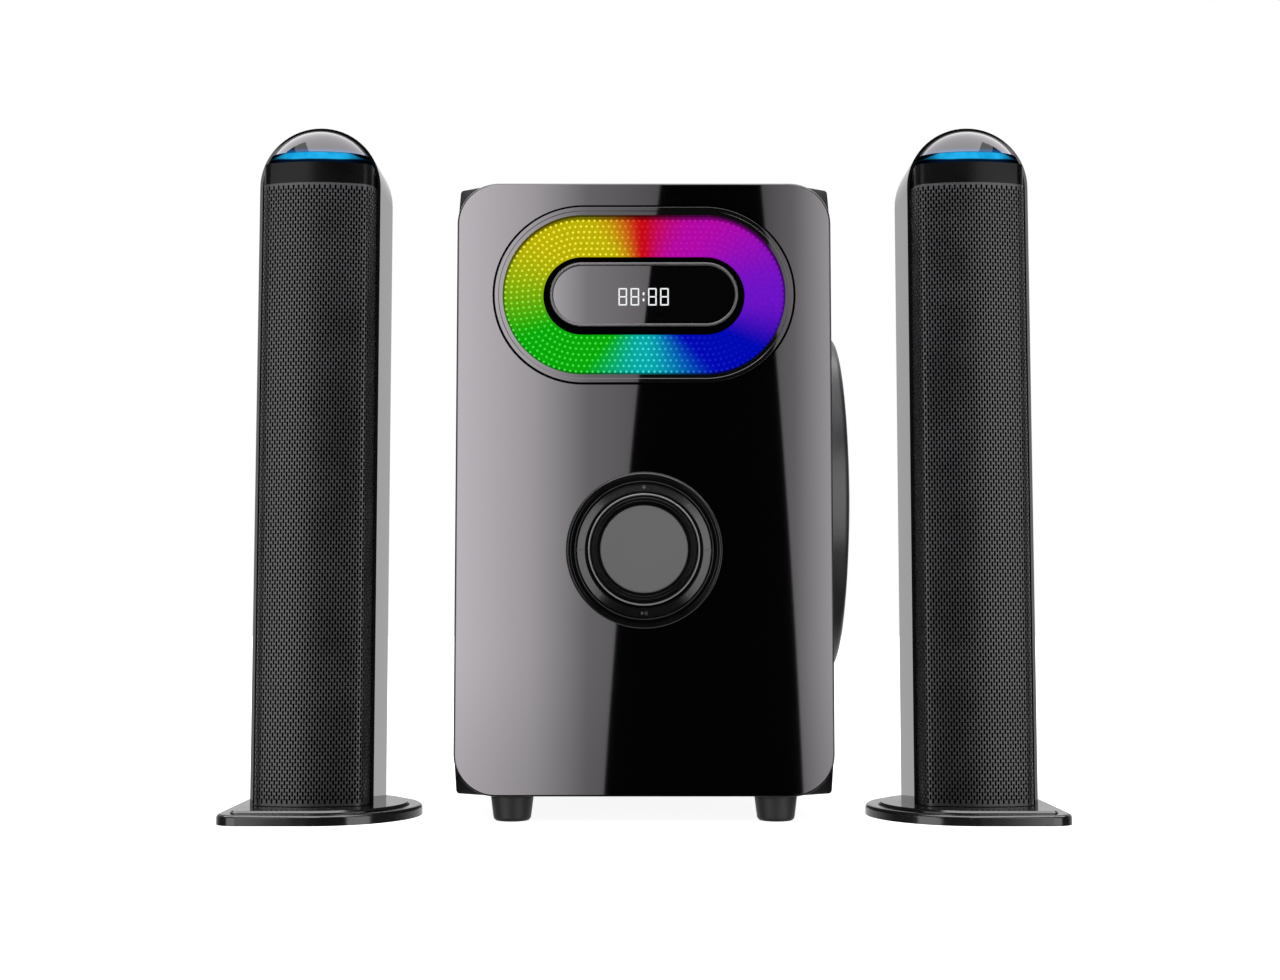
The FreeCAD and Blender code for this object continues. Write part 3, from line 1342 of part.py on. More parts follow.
def arch_disc(radius, front, back):
    return cylinder("Y", radius, behind(front), behind(back), (size(0), D.arch_height))


def make_grille_cap():
    """The band above the grille, trimmed to the arch and hollow from below."""
    body = new_body("cap_block")
    pad(body, "XY", D.grille_top, D.cap_top, grille_outline(0))
    pocket(body, "XY", D.grille_top, D.cap_top - D.cap_wall, grille_outline(D.cap_wall))
    return common(body, arch_disc(D.lens_radius, D.grille_front - PAST, D.rim_depth))


def lens_slice(low, high):
    """A level slice of the lens: half an ellipsoid that bulges forwards, on a flat disc."""
    bulge = doc.addObject("Part::Ellipsoid", "bulge")
    bind(bulge, "Radius1", D.lens_radius)
    bind(bulge, "Radius2", D.lens_radius)
    bind(bulge, "Radius3", D.lens_bulge)
    bulge.Angle1 = -90
    bulge.Angle2 = 90
    place(bulge, 0, behind(0), D.arch_height)
    slab = box(centred(2 * D.arch_radius), (behind(-D.lens_bulge - PAST), behind(D.rim_depth)), (low, high))
    return common(fuse(bulge, arch_disc(D.lens_radius, 0, D.rim_depth)), slab)


def make_light_guide():
    return lens_slice(D.cap_top, D.guide_top)


def make_top_lens():
    return lens_slice(D.guide_top, D.arch_height + D.arch_radius)


def make_driver():
    """A small driver: flange, basket and magnet, turned about its own Z axis."""
    body = new_body("driver")
    outer = D.driver_bore + D.driver_wall
    seat, front = -D.rim_depth, -D.driver_flange_front
    magnet_front, magnet_back = -D.driver_magnet_front, -D.driver_magnet_back
    gap_end = magnet_back + D.driver_plate
    shoulder = D.driver_magnet - D.driver_step
    pole_top = magnet_front + D.driver_pole_proud
    revolve(body, (0, magnet_back), (D.driver_magnet, magnet_back), (D.driver_magnet, magnet_front),
            (shoulder, magnet_front), (outer, -D.driver_knee), (outer, seat), (D.driver_flange, seat),
            (D.driver_flange, front), (D.driver_bore, front), (D.driver_bore, -D.driver_knee),
            (shoulder - D.driver_wall, magnet_front), (D.driver_gap_outer, magnet_front),
            (D.driver_gap_outer, gap_end), (D.driver_pole, gap_end), (D.driver_pole, pole_top),
            (0, pole_top))
    return body


def make_driver_cone():
    """The moving cone of a small driver, with its roll, dome and former."""
    body = new_body("small_cone")
    wall = D.small_cone_wall
    edge, edge_back = -D.small_cone_front, -D.small_cone_front - wall
    roll_middle = D.small_roll_edge - D.small_roll
    roll_inner = roll_middle - D.small_roll
    neck = -D.small_cone_depth
    top = neck + D.small_dome_rise
    centre = dome_centre(D.small_cone_neck, D.small_dome_rise, top)
    inner_radius = top - wall - centre
    inside = centre + root(inner_radius * inner_radius - D.small_former * D.small_former)
    former_outer = D.small_former + D.small_former_wall
    slope = (D.small_cone_depth - D.small_cone_front) / (roll_inner - D.small_cone_neck)
    neck_back = neck - wall - slope * (D.small_cone_neck - former_outer)
    revolve(body, (D.small_roll_edge, edge_back), (D.small_roll_edge, edge, roll_middle, edge, 1),
            (roll_inner, edge), (D.small_cone_neck, neck, 0, centre, 1), (0, top),
            (0, top - wall, 0, centre, -1), (D.small_former, inside),
            (D.small_former, -D.small_former_end), (former_outer, -D.small_former_end),
            (former_outer, neck_back), (roll_inner, edge_back))
    return body


def make_tower_jack():
    """The line socket in the tower's back."""
    axis = (size(0), D.tower_jack_z)
    inside = behind(D.shell_depth) - D.shell_wall
    end = behind(D.shell_depth) + D.jack_length
    flange = cylinder("Y", D.tower_jack_flange, inside - D.tower_jack_flange_thickness, inside, axis)
    stem = cylinder("Y", D.jack_stem, inside - D.jack_root, end, axis)
    barrel = cylinder("Y", D.jack_barrel, behind(D.shell_depth) + D.jack_standoff, end, axis)
    bore = cylinder("Y", D.jack_bore, inside + D.jack_root, end + PAST, axis)
    return cut(fuse(flange, stem, barrel), bore)


TOWER_PIECES = (
    ("base_screws", make_base_screws),
    ("shell", make_shell),
    ("front_frame", make_tower_front),
    ("grille", make_tower_grille),
    ("grille_cap", make_grille_cap),
    ("light_guide", make_light_guide),
    ("top_lens", make_top_lens),
    ("line_jack", make_tower_jack),
)
DRIVER_PIECES = (
    ("upper_driver", make_driver, D.driver_upper_z),
    ("upper_cone", make_driver_cone, D.driver_upper_z),
    ("lower_driver", make_driver, D.driver_lower_z),
    ("lower_cone", make_driver_cone, D.driver_lower_z),
)


def make_tower(side, x, inward):
    keep("%s_base_plate" % side, place(make_base_plate(inward), x))
    for name, make in TOWER_PIECES:
        keep("%s_%s" % (side, name), place(make(), x))
    for name, make, level in DRIVER_PIECES:
        keep("%s_%s" % (side, name), place(make(), x, behind(0), level, FACING_FRONT))


# -------------------------------------------------------------------------- the whole set

SUBWOOFER_PIECES = (
    make_cabinet, make_front_frame, make_front_panel, make_feet,
    make_light_trim, make_diffuser, make_light_board,
    make_display_pod, make_display_window, make_display_module,
    make_control_bezel, make_key_ring, make_knob, make_knob_cap, make_encoder,
    make_control_board, make_board_screws,
    make_basket, make_magnet, make_woofer_cone, make_dust_cap, make_surround, make_spider,
    make_woofer_grille, make_cabinet_screws,
    make_rear_plate, make_amp_board, make_jacks, make_inlet, make_rocker_housing, make_rocker,
    make_port, make_transformer,
)


def check_and_export():
    """Stop on any failed object, then write one STEP file for each sub-part."""
    doc.recompute()
    for item in doc.Objects:
        if "Invalid" in item.State or "Error" in item.State:
            raise RuntimeError("%s (%s) failed: %s" % (item.Name, item.Label, item.State))
    os.makedirs("parts", exist_ok=True)
    for item in parts:
        if item.Shape.isNull() or not item.Shape.isValid():
            raise RuntimeError("%s has no valid shape" % item.Label)
        item.Shape.exportStep("parts/%s.step" % item.Label)


for make_piece in SUBWOOFER_PIECES:
    make_piece()
make_tower("left", -D.tower_x, 1)
make_tower("right", D.tower_x, -1)
check_and_export()

for part in parts:
    solids = part.Shape.Solids
    print("%-20s %2d solid(s) %10.1f mm3" % (part.Label, len(solids), sum(s.Volume for s in solids)))
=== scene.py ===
import json
import math

import bmesh
import bpy
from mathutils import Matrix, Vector


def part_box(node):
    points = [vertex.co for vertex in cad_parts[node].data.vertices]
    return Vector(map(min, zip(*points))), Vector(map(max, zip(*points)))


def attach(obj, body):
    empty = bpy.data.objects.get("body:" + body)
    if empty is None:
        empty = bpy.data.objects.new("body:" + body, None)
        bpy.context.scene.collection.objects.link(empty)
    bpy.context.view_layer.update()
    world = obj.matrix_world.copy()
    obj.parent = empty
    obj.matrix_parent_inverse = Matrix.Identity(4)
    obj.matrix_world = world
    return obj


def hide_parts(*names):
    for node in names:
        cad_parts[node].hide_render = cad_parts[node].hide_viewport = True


# The looks of the desktop speaker set, in metres: a subwoofer with a lit ring, and two towers.
# +Z is up, +X is to the right of someone facing the set, and the fronts face -Y.

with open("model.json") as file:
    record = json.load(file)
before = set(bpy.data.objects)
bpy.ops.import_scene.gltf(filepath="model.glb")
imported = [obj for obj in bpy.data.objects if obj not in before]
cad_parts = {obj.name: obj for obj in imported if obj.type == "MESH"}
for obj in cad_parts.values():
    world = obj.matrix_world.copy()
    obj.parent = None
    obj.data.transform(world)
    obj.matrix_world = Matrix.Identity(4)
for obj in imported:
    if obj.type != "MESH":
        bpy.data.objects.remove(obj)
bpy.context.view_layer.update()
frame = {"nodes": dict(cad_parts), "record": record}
NODES = frame["nodes"]
MM = 0.001

# -------------------- driving places

PANEL_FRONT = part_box("sub_front_panel")[0].y
TRIM_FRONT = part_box("light_trim")[0].y
DIFFUSER_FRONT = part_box("light_diffuser")[0].y
POD_LOW, POD_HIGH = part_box("display_pod")
WINDOW_LOW, WINDOW_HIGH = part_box("display_window")
KNOB_LOW, KNOB_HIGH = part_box("volume_knob")
RING_Z = (POD_LOW.z + POD_HIGH.z) / 2
RING_RUN = 33.5 * MM  # from the lit ring's middle to the centres of its round ends
RING_EDGE = 42.2 * MM  # the outer radius of those ends
KNOB_Z = (KNOB_LOW.z + KNOB_HIGH.z) / 2
GRILLE_LOW, GRILLE_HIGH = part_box("woofer_grille")
WOOFER_Y = (GRILLE_LOW.y + GRILLE_HIGH.y) / 2
WOOFER_Z = (GRILLE_LOW.z + GRILLE_HIGH.z) / 2
SIDES = ("left", "right")


def middle_x(name):
    low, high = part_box(name)
    return (low.x + high.x) / 2


# -------------------- materials

def srgb(*channels):
    """A display colour from 0 to 255, as linear light with full opacity."""
    if len(channels) == 1:
        channels = channels * 3
    light = [c / 12.92 if c <= 0.04045 else ((c + 0.055) / 1.055) ** 2.4
             for c in (channel / 255 for channel in channels)]
    return (*light, 1.0)


class Shader:
    """A material's or the world's node tree, built socket by socket."""

    def __init__(self, name, world=False):
        self.material = (bpy.data.worlds if world else bpy.data.materials).new(name)
        self.material.use_nodes = True
        self.tree = self.material.node_tree
        self.tree.nodes.clear()

    def add(self, kind, inputs, **settings):
        new = self.tree.nodes.new("ShaderNode" + kind)
        for key, value in settings.items():
            setattr(new, key, value)
        for key, value in inputs.items():
            if isinstance(value, bpy.types.NodeSocket):
                self.tree.links.new(value, new.inputs[key])
            else:
                new.inputs[key].default_value = value
        return new

    def math(self, operation, first, second=0.0):
        return self.add("Math", {0: first, 1: second}, operation=operation).outputs[0]

    def between(self, value, low, high, to_low=0.0, to_high=1.0):
        """Map a value from one range to another, and keep it inside."""
        inputs = {0: value, 1: low, 2: high, 3: to_low, 4: to_high}
        return self.add("MapRange", inputs, interpolation_type="SMOOTHSTEP").outputs[0]

    def place(self, stretch=(1, 1, 1), shift=(0, 0, 0)):
        """Object coordinates, in metres, optionally shifted and stretched."""
        coordinates = self.add("TexCoord", {}).outputs["Object"]
        moved = self.add("VectorMath", {0: coordinates, 1: shift}, operation="SUBTRACT").outputs[0]
        return self.add("VectorMath", {0: moved, 1: stretch}, operation="MULTIPLY").outputs[0]

    def noise(self, where, size, detail=3.0):
        return self.add("TexNoise", {"Vector": where, "Scale": 1 / size, "Detail": detail}).outputs[0]

    def split(self, vector):
        return self.add("SeparateXYZ", {0: vector}).outputs

    def hypotenuse(self, first, second):
        squares = self.math("ADD", self.math("POWER", first, 2.0), self.math("POWER", second, 2.0))
        return self.math("SQRT", squares)

    def ramp(self, factor, stops, interpolation="LINEAR"):
        new = self.add("ValToRGB", {0: factor})
        new.color_ramp.interpolation = interpolation
        elements = new.color_ramp.elements
        for _ in stops[2:]:
            elements.new(0.5)
        for element, (position, colour) in zip(elements, sorted(stops, key=lambda stop: stop[0])):
            element.position = position
            element.color = colour
        return new.outputs[0]

    def blend(self, factor, first, second):
        return self.add("Mix", {0: factor, 6: first, 7: second}, data_type="RGBA").outputs[2]

    def bump(self, height, depth):
        return self.add("Bump", {"Height": height, "Distance": depth, "Strength": 1.0}).outputs[0]

    def surface(self, **inputs):
        """Close the tree with a Principled BSDF; an underscore in a name stands for a space."""
        named = {key.replace("_", " "): value for key, value in inputs.items()}
        shader = self.add("BsdfPrincipled", named)
        self.add("OutputMaterial", {"Surface": shader.outputs[0]})
        return self.material

    def glow(self, colour, strength):
        shader = self.add("Emission", {"Color": colour, "Strength": strength})
        self.add("OutputMaterial", {"Surface": shader.outputs[0]})
        return self.material


def finish(name, colour, roughness, metallic=0.0, grain=0.4 * MM, depth=0.004 * MM, stretch=(1, 1, 1),
           spread=0.04, mottle=0.12, **extra):
    """A moulded, painted or drawn surface: fine grain, slightly uneven colour and roughness."""
    shader = Shader(name)
    where = shader.place(stretch)
    fine = shader.noise(where, grain)
    broad = shader.noise(shader.place(), 25 * MM, 4.0)
    dark = tuple(c * (1 - mottle) for c in colour[:3]) + (1.0,)
    light = tuple(c * (1 + mottle) for c in colour[:3]) + (1.0,)
    tone = shader.blend(shader.between(broad, 0.3, 0.7), dark, light)
    rough = shader.between(broad, 0.3, 0.7, max(roughness - spread, 0.0), roughness + spread)
    return shader.surface(Base_Color=tone, Roughness=rough, Metallic=metallic,
                          Normal=shader.bump(fine, depth), **extra)


def make_vinyl():
    """Black vinyl wrap with a pressed ash grain, upright."""
    shader = Shader("cabinet_vinyl")
    upright = shader.place((1, 1, 0.06))
    warp = shader.math("MULTIPLY", shader.noise(shader.place((1, 1, 0.2)), 60 * MM, 2.0), 0.02)
    sideways = shader.add("CombineXYZ", {0: warp, 1: warp}).outputs[0]
    warped = shader.add("VectorMath", {0: upright, 1: sideways}, operation="ADD").outputs[0]
    pores = shader.noise(warped, 1.1 * MM, 5.0)
    groove = shader.between(pores, 0.42, 0.6)
    tone = shader.blend(groove, srgb(12), srgb(31, 30, 29))
    rough = shader.between(groove, 0, 1, 0.62, 0.42)
    return shader.surface(Base_Color=tone, Roughness=rough, Normal=shader.bump(groove, 0.06 * MM))


def make_gloss(name, colour, roughness=0.03, index=1.5):
    """Polished plastic: a clear coat over black, with a trace of moulding waviness and dust."""
    shader = Shader(name)
    where = shader.place()
    wave = shader.noise(where, 70 * MM, 1.0)
    dust = shader.noise(where, 0.35 * MM, 2.0)
    rough = shader.between(dust, 0.66, 0.8, roughness, roughness + 0.1)
    return shader.surface(Base_Color=colour, Roughness=rough, IOR=index,
                          Normal=shader.bump(wave, 0.004 * MM))


RED, YELLOW, GREEN, CYAN = (200, 10, 20), (190, 180, 10), (10, 170, 10), (10, 170, 170)
BLUE, VIOLET, MAGENTA = (0, 10, 180), (110, 20, 200), (180, 10, 170)
RAINBOW = (  # the ring's colour by angle, anticlockwise from the right, in degrees
    (0, VIOLET), (50, MAGENTA), (92, RED), (130, YELLOW), (150, YELLOW), (200, GREEN),
    (230, GREEN), (270, CYAN), (315, BLUE), (335, BLUE), (360, VIOLET))
DOT_STRENGTH = ((0, 0), (90, 0.3), (130, 1), (280, 1), (330, 0.1), (360, 0))  # by the same angle
DOT_WHITE = 0.025  # the most white mixed into a dot's colour
DOT_GLOW = (1.03, 1.8)  # a dot's brightness, weakest and strongest
RING_SHADE_WIDTH = 2.2 * MM  # how far inside its outer edge the painted shade starts to darken the ring
RING_SHADE_EDGE_SHARE = 0.35  # the light left at that edge under the painted shade


def ring_share(shader):
    """How far round the ring a point is, from 0 to 1, anticlockwise from the right."""
    where = shader.split(shader.place(shift=(0, 0, RING_Z)))
    turn = shader.math("DIVIDE", shader.math("ARCTAN2", where[2], where[0]), 2 * math.pi)
    return shader.math("FRACT", turn)


def rainbow(shader, share):
    return shader.ramp(share, [(angle / 360, srgb(*colour)) for angle, colour in RAINBOW], "EASE")


def make_ring_light():
    """The lit diffuser: a rainbow round the ring, slightly cloudy, with painted shade darkening it along
    its outer edge.
    """
    shader = Shader("light_ring")
    where = shader.split(shader.place(shift=(0, 0, RING_Z)))
    past_run = shader.math("SUBTRACT", shader.math("ABSOLUTE", where[0]), RING_RUN)
    radius = shader.hypotenuse(shader.math("MAXIMUM", past_run, 0.0), where[2])
    # painted shade: the ring's light falls off towards its outer edge
    edge = shader.between(radius, RING_EDGE - RING_SHADE_WIDTH, RING_EDGE, 1.0, RING_SHADE_EDGE_SHARE)
    colour = shader.blend(edge, srgb(0), rainbow(shader, ring_share(shader)))
    cloud = shader.noise(shader.place(), 2.2 * MM, 2.0)
    return shader.glow(colour, shader.between(cloud, 0.2, 0.8, 0.88, 1.04))


def make_dot_light():
    """The dots of light in the ring: brighter than it on the left, and lost in it on the right."""
    shader = Shader("ring_dots")
    share = ring_share(shader)
    stops = [(angle / 360, (level, level, level, 1)) for angle, level in DOT_STRENGTH]
    strength = shader.ramp(share, stops)
    white = shader.math("MULTIPLY", strength, DOT_WHITE)
    tint = shader.blend(white, rainbow(shader, share), srgb(255))
    return shader.glow(tint, shader.between(strength, 0, 1, *DOT_GLOW))


TOWER_X = abs(middle_x("left_shell"))
GUIDE_LOW, GUIDE_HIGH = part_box("left_light_guide")


def tower_offset(shader):
    """How far a point is from its own tower's middle, along X, with its height."""
    where = shader.split(shader.place())
    off_middle = shader.math("SUBTRACT", shader.math("ABSOLUTE", where[0]), TOWER_X)
    return shader.math("ABSOLUTE", off_middle), where[2]


def make_blue_light():
    """The lit strip: brightest in its middle, dark along its lower edge and at its ends."""
    shader = Shader("blue_light")
    across, up = tower_offset(shader)
    cloud = shader.noise(shader.place(), 6 * MM, 2.0)
    colour = shader.blend(shader.between(cloud, 0.3, 0.7), srgb(18, 160, 220), srgb(40, 184, 244))
    edge = shader.between(across, 10 * MM, 27 * MM, GUIDE_LOW.z + 1.3 * MM, GUIDE_LOW.z + 2.6 * MM)
    lit = shader.between(shader.math("SUBTRACT", up, edge), 0.0, 0.9 * MM)
    top = shader.between(across, 16 * MM, 27 * MM, GUIDE_HIGH.z, GUIDE_HIGH.z - 2.6 * MM)
    below_top = shader.between(shader.math("SUBTRACT", up, top), -0.6 * MM, 0.1 * MM, 1.0, 0.0)
    lit = shader.math("MULTIPLY", lit, below_top)
    end = shader.between(across, 14 * MM, 26 * MM, 1.0, 0.06)
    return shader.glow(shader.blend(lit, srgb(2, 20, 45), colour), end)


def make_lens():
    """The smoked dome: a hard gloss, with the strip's blue light bleeding into its foot."""
    shader = Shader("lens_gloss")
    across, up = tower_offset(shader)
    near = shader.between(up, GUIDE_HIGH.z, GUIDE_HIGH.z + 3.5 * MM, 1.0, 0.0)
    middle = shader.between(across, 12 * MM, 27 * MM, 1.0, 0.2)
    bleed = shader.math("MULTIPLY", shader.math("POWER", near, 2.0), middle)
    wave = shader.noise(shader.place(), 40 * MM, 1.0)
    dust = shader.noise(shader.place(), 0.35 * MM, 2.0)
    return shader.surface(Base_Color=srgb(12), Roughness=shader.between(dust, 0.66, 0.8, 0.04, 0.12),
                          Normal=shader.bump(wave, 0.003 * MM), Emission_Color=srgb(20, 110, 190),
                          Emission_Strength=shader.math("MULTIPLY", bleed, 0.5))


def make_digits_light():
    shader = Shader("display_digits")
    cloud = shader.noise(shader.place(), 1.5 * MM)
    return shader.glow(shader.blend(cloud, srgb(240, 245, 250), srgb(255)), 1.0)


def make_spun_disc(name, colour, roughness):
    """A painted disc, with the fine rings of a lathe about the knob's axis."""
    shader = Shader(name)
    where = shader.split(shader.place(shift=(0, 0, KNOB_Z)))
    radius = shader.hypotenuse(where[0], where[2])
    rings = shader.noise(shader.add("CombineXYZ", {0: radius}).outputs[0], 0.12 * MM, 2.0)
    tone = shader.blend(rings, tuple(c * 0.93 for c in colour[:3]) + (1.0,), colour)
    return shader.surface(Base_Color=tone, Roughness=roughness, Normal=shader.bump(rings, 0.003 * MM))


MATERIALS = {
    "cabinet_vinyl": make_vinyl(),
    "panel_gloss": make_gloss("panel_gloss", srgb(2)),
    "frame_satin": finish("frame_satin", srgb(8), 0.55, grain=0.5 * MM, depth=0.006 * MM,
                          Specular_IOR_Level=0.04),
    "trim_gloss": make_gloss("trim_gloss", srgb(8)),
    "light_ring": make_ring_light(),
    "display_glass": make_gloss("display_glass", srgb(4), 0.02, 1.62),
    "display_digits": finish("display_block", srgb(40), 0.5),
    "circuit_board": finish("circuit_board", srgb(24, 84, 46), 0.4, mottle=0.3),
    "bezel_gloss": finish("bezel_gloss", srgb(6), 0.22, depth=0.002 * MM, Specular_IOR_Level=0.3),
    "key_satin": finish("key_satin", srgb(10), 0.2, grain=0.3 * MM, depth=0.002 * MM),
    "knob_gloss": finish("knob_gloss", srgb(4), 0.3, depth=0.002 * MM, Specular_IOR_Level=0.15),
    "knob_mirror": make_spun_disc("knob_mirror", srgb(73), 0.6),
    "turned_steel": finish("turned_steel", srgb(150), 0.3, 1.0, stretch=(1, 12, 1)),
    "screw_black": finish("screw_black", srgb(46), 0.35, 0.8),
    "basket_paint": finish("basket_paint", srgb(30), 0.45, depth=0.02 * MM),
    "magnet_iron": finish("magnet_iron", srgb(70), 0.55, 0.4, depth=0.02 * MM),
    "cone_paper": finish("cone_paper", srgb(34), 0.85, grain=1.2 * MM, depth=0.08 * MM, mottle=0.3),
    "surround_rubber": finish("surround_rubber", srgb(24), 0.6),
    "spider_cloth": finish("spider_cloth", srgb(170, 140, 60), 0.9, depth=0.05 * MM),
    "grille_mesh": finish("grille_mesh", srgb(42, 42, 44), 0.36, grain=0.25 * MM, Specular_IOR_Level=0.5),
    "plate_paint": finish("plate_paint", srgb(30), 0.5, grain=0.35 * MM, depth=0.03 * MM),
    "jack_metal": finish("jack_metal", srgb(205, 200, 190), 0.22, 1.0),
    "socket_black": finish("socket_black", srgb(20), 0.35),
    "port_black": finish("port_black", srgb(22), 0.38, depth=0.01 * MM),
    "foot_rubber": finish("foot_rubber", srgb(30), 0.5, depth=0.01 * MM, mottle=0.25),
    "shell_gloss": make_gloss("shell_gloss", srgb(9), 0.05),
    "band_satin": finish("band_satin", srgb(6), 0.22, grain=0.3 * MM, depth=0.003 * MM,
                         Specular_IOR_Level=0.12),
    "blue_light": make_blue_light(),
    "lens_gloss": make_lens(),
    "base_satin": finish("base_satin", srgb(18), 0.14, grain=0.6 * MM, depth=0.002 * MM, spread=0.03),
}
DOT_LIGHT = make_dot_light()
DIGIT_LIGHT = make_digits_light()
RIM_GREY = finish("rim_grey", srgb(44), 0.3, grain=0.3 * MM, depth=0.003 * MM)
# dead black with no shine: painted shade in the trim's groove and on the display's wall
SHADE_BLACK = finish("painted_shade_black", srgb(2), 0.9, Specular_IOR_Level=0.0)
CLOTH_BLACK = finish("cloth_black", srgb(5), 1.0, grain=0.5 * MM, depth=0.05 * MM,
                     Specular_IOR_Level=0.1)
# the knob's bead: a pale grey that is partly its own colour and partly a painted reflection of a polished
# ring
BEAD_PAINTED_SHEEN = finish("knob_bead_painted_sheen", srgb(110), 0.35, grain=0.3 * MM, depth=0.002 * MM)
# a pale grey that paints a highlight along the control's turned edges
HIGHLIGHT_GREY = finish("edge_painted_highlight", srgb(46), 0.35, grain=0.3 * MM, depth=0.002 * MM)
ICON_PAINT = finish("icon_paint", srgb(66), 0.5)
# painted shade for the screws' cross recesses
RECESS_SHADE = finish("recess_painted_shade", srgb(8), 0.6)
INSULATOR_RED = finish("insulator_red", srgb(150, 22, 20), 0.4)
INSULATOR_WHITE = finish("insulator_white", srgb(212, 210, 205), 0.4)

for subpart in frame["record"]["subparts"]:
    for holder in NODES[subpart["node"]].material_slots:
        holder.material = MATERIALS[subpart["material_slot"]]


# -------------------- meshes

def new_piece(name, points, faces, body, slot, replaced=(), material=None, crease=30, thickness=0.0):
    """A mesh piece with clean, outward faces and even shading, riding on a body."""
    mesh = bpy.data.meshes.new(name)
    mesh.from_pydata([tuple(point) for point in points], [], faces)
    tidy_mesh(mesh)
    piece = bpy.data.objects.new(name, mesh)
    bpy.context.scene.collection.objects.link(piece)
    if thickness:
        bake(piece, "SOLIDIFY", thickness=thickness, offset=-1, use_even_offset=True)
    piece.data.materials.clear()
    piece.data.materials.append(material or MATERIALS[slot])
    piece.data.shade_smooth()
    piece.data.set_sharp_from_angle(angle=math.radians(crease))
    if not thickness:
        bake(piece, "WEIGHTED_NORMAL", keep_sharp=True)
    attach(piece, body)
    if replaced:
        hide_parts(*replaced)
    return piece


def tidy_mesh(mesh):
    """Merge points that coincide, and turn the faces outwards."""
    work = bmesh.new()
    work.from_mesh(mesh)
    bmesh.ops.remove_doubles(work, verts=work.verts, dist=1e-6)
    bmesh.ops.recalc_face_normals(work, faces=work.faces)
    work.to_mesh(mesh)
    work.free()


def bake(piece, kind, **settings):
    """Apply one modifier to a piece's mesh."""
    modifier = piece.modifiers.new(kind.lower(), kind)
    for key, value in settings.items():
        setattr(modifier, key, value)
    graph = bpy.context.evaluated_depsgraph_get()
    shaped = bpy.data.meshes.new_from_object(piece.evaluated_get(graph))
    piece.modifiers.clear()
    piece.data = shaped


def joined(*shapes):
    """Several (points, faces) shapes as one."""
    points, faces = [], []
    for more_points, more_faces in shapes:
        start = len(points)
        points += list(more_points)
        faces += [tuple(start + i for i in face) for face in more_faces]
    return points, faces


def rounded(section, radius, closed=True, steps=3):
    """Round the corners of a section; a corner's own radius may be its third number."""
    count = len(section)
    result = []
    for i, corner in enumerate(section):
        here = Vector(corner[:2])
        size = corner[2] if len(corner) > 2 else radius
        if size == 0 or (not closed and i in (0, count - 1)):
            result.append(tuple(here))
            continue
        before = Vector(section[i - 1][:2]) - here
        after = Vector(section[(i + 1) % count][:2]) - here
        cut = min(size, before.length * 0.45, after.length * 0.45)
        start, end = here + before.normalized() * cut, here + after.normalized() * cut
        for step in range(steps + 1):
            t = step / steps
            result.append(tuple(start * (1 - t) ** 2 + here * 2 * t * (1 - t) + end * t ** 2))
    return result


def round_stations(run, half):
    """Directions round a circle, or round a stadium with two straight runs, each with its shift."""
    last = half + 1 if run else half
    return [(math.cos(turn), math.sin(turn), side * run)
            for side, start in ((1, -90), (-1, 90)) for i in range(last)
            for turn in [math.radians(start + 180 * i / half)]]


def turned(section, place, run=0.0, closed=True, half=48):
    """A section of (radius, height) turned round an axis; place(across, up, height) is a point."""
    ring = round_stations(run, half)
    points = [place(radius * cosine + shift, radius * sine, height)
              for cosine, sine, shift in ring for radius, height in section]
    count = len(section)
    faces = []
    for i in range(len(ring)):
        for j in range(count if closed else count - 1):
            here, there = i * count, (i + 1) % len(ring) * count
            k = (j + 1) % count
            faces.append((here + j, here + k, there + k, there + j))
    return points, faces


def facing_front(x, y, z):
    return lambda across, up, height: (x + across, y - height, z + up)


def facing_back(x, y, z):
    return lambda across, up, height: (x + across, y + height, z + up)


def facing_right(x, y, z):
    return lambda across, up, height: (x + height, y + across, z + up)


def facing_up(x, y, z):
    return lambda across, up, height: (x + across, y + up, z + height)


def prism(outline, place, low, high):
    """A flat shape with upright sides; its heights may be functions of its points."""
    heights = [level if callable(level) else (lambda a, b, level=level: level) for level in (low, high)]
    count = len(outline)
    points = [place(a, b, height(a, b)) for height in heights for a, b in outline]
    faces = [tuple(range(count)), tuple(range(count, 2 * count))]
    faces += [(i, (i + 1) % count, count + (i + 1) % count, count + i) for i in range(count)]
    return points, faces


def shifted(outline, x=0.0, y=0.0, scale=1.0, angle=0.0):
    cosine, sine = math.cos(angle) * scale, math.sin(angle) * scale
    return [(x + a * cosine - b * sine, y + a * sine + b * cosine) for a, b in outline]


# -------------------- the towers' perforation

GRILLE_LEAN = 0.17
GRILLE_CORNER = 7 * MM
GRILLE_CROWN = 80 * MM
GRILLE_SHEET = 0.8 * MM
SLOT_PITCH = 1.45 * MM
SLOT_PERIOD = 3.9 * MM
SLOT_WIDTH = 1.1 * MM
SLOT_HEIGHT = 2.9 * MM
SLOT_CORNER = 0.3 * MM
CLOTH_STEPS = 40
CLOTH_SHARE = 0.93
CLOTH_GAP = 2.2 * MM


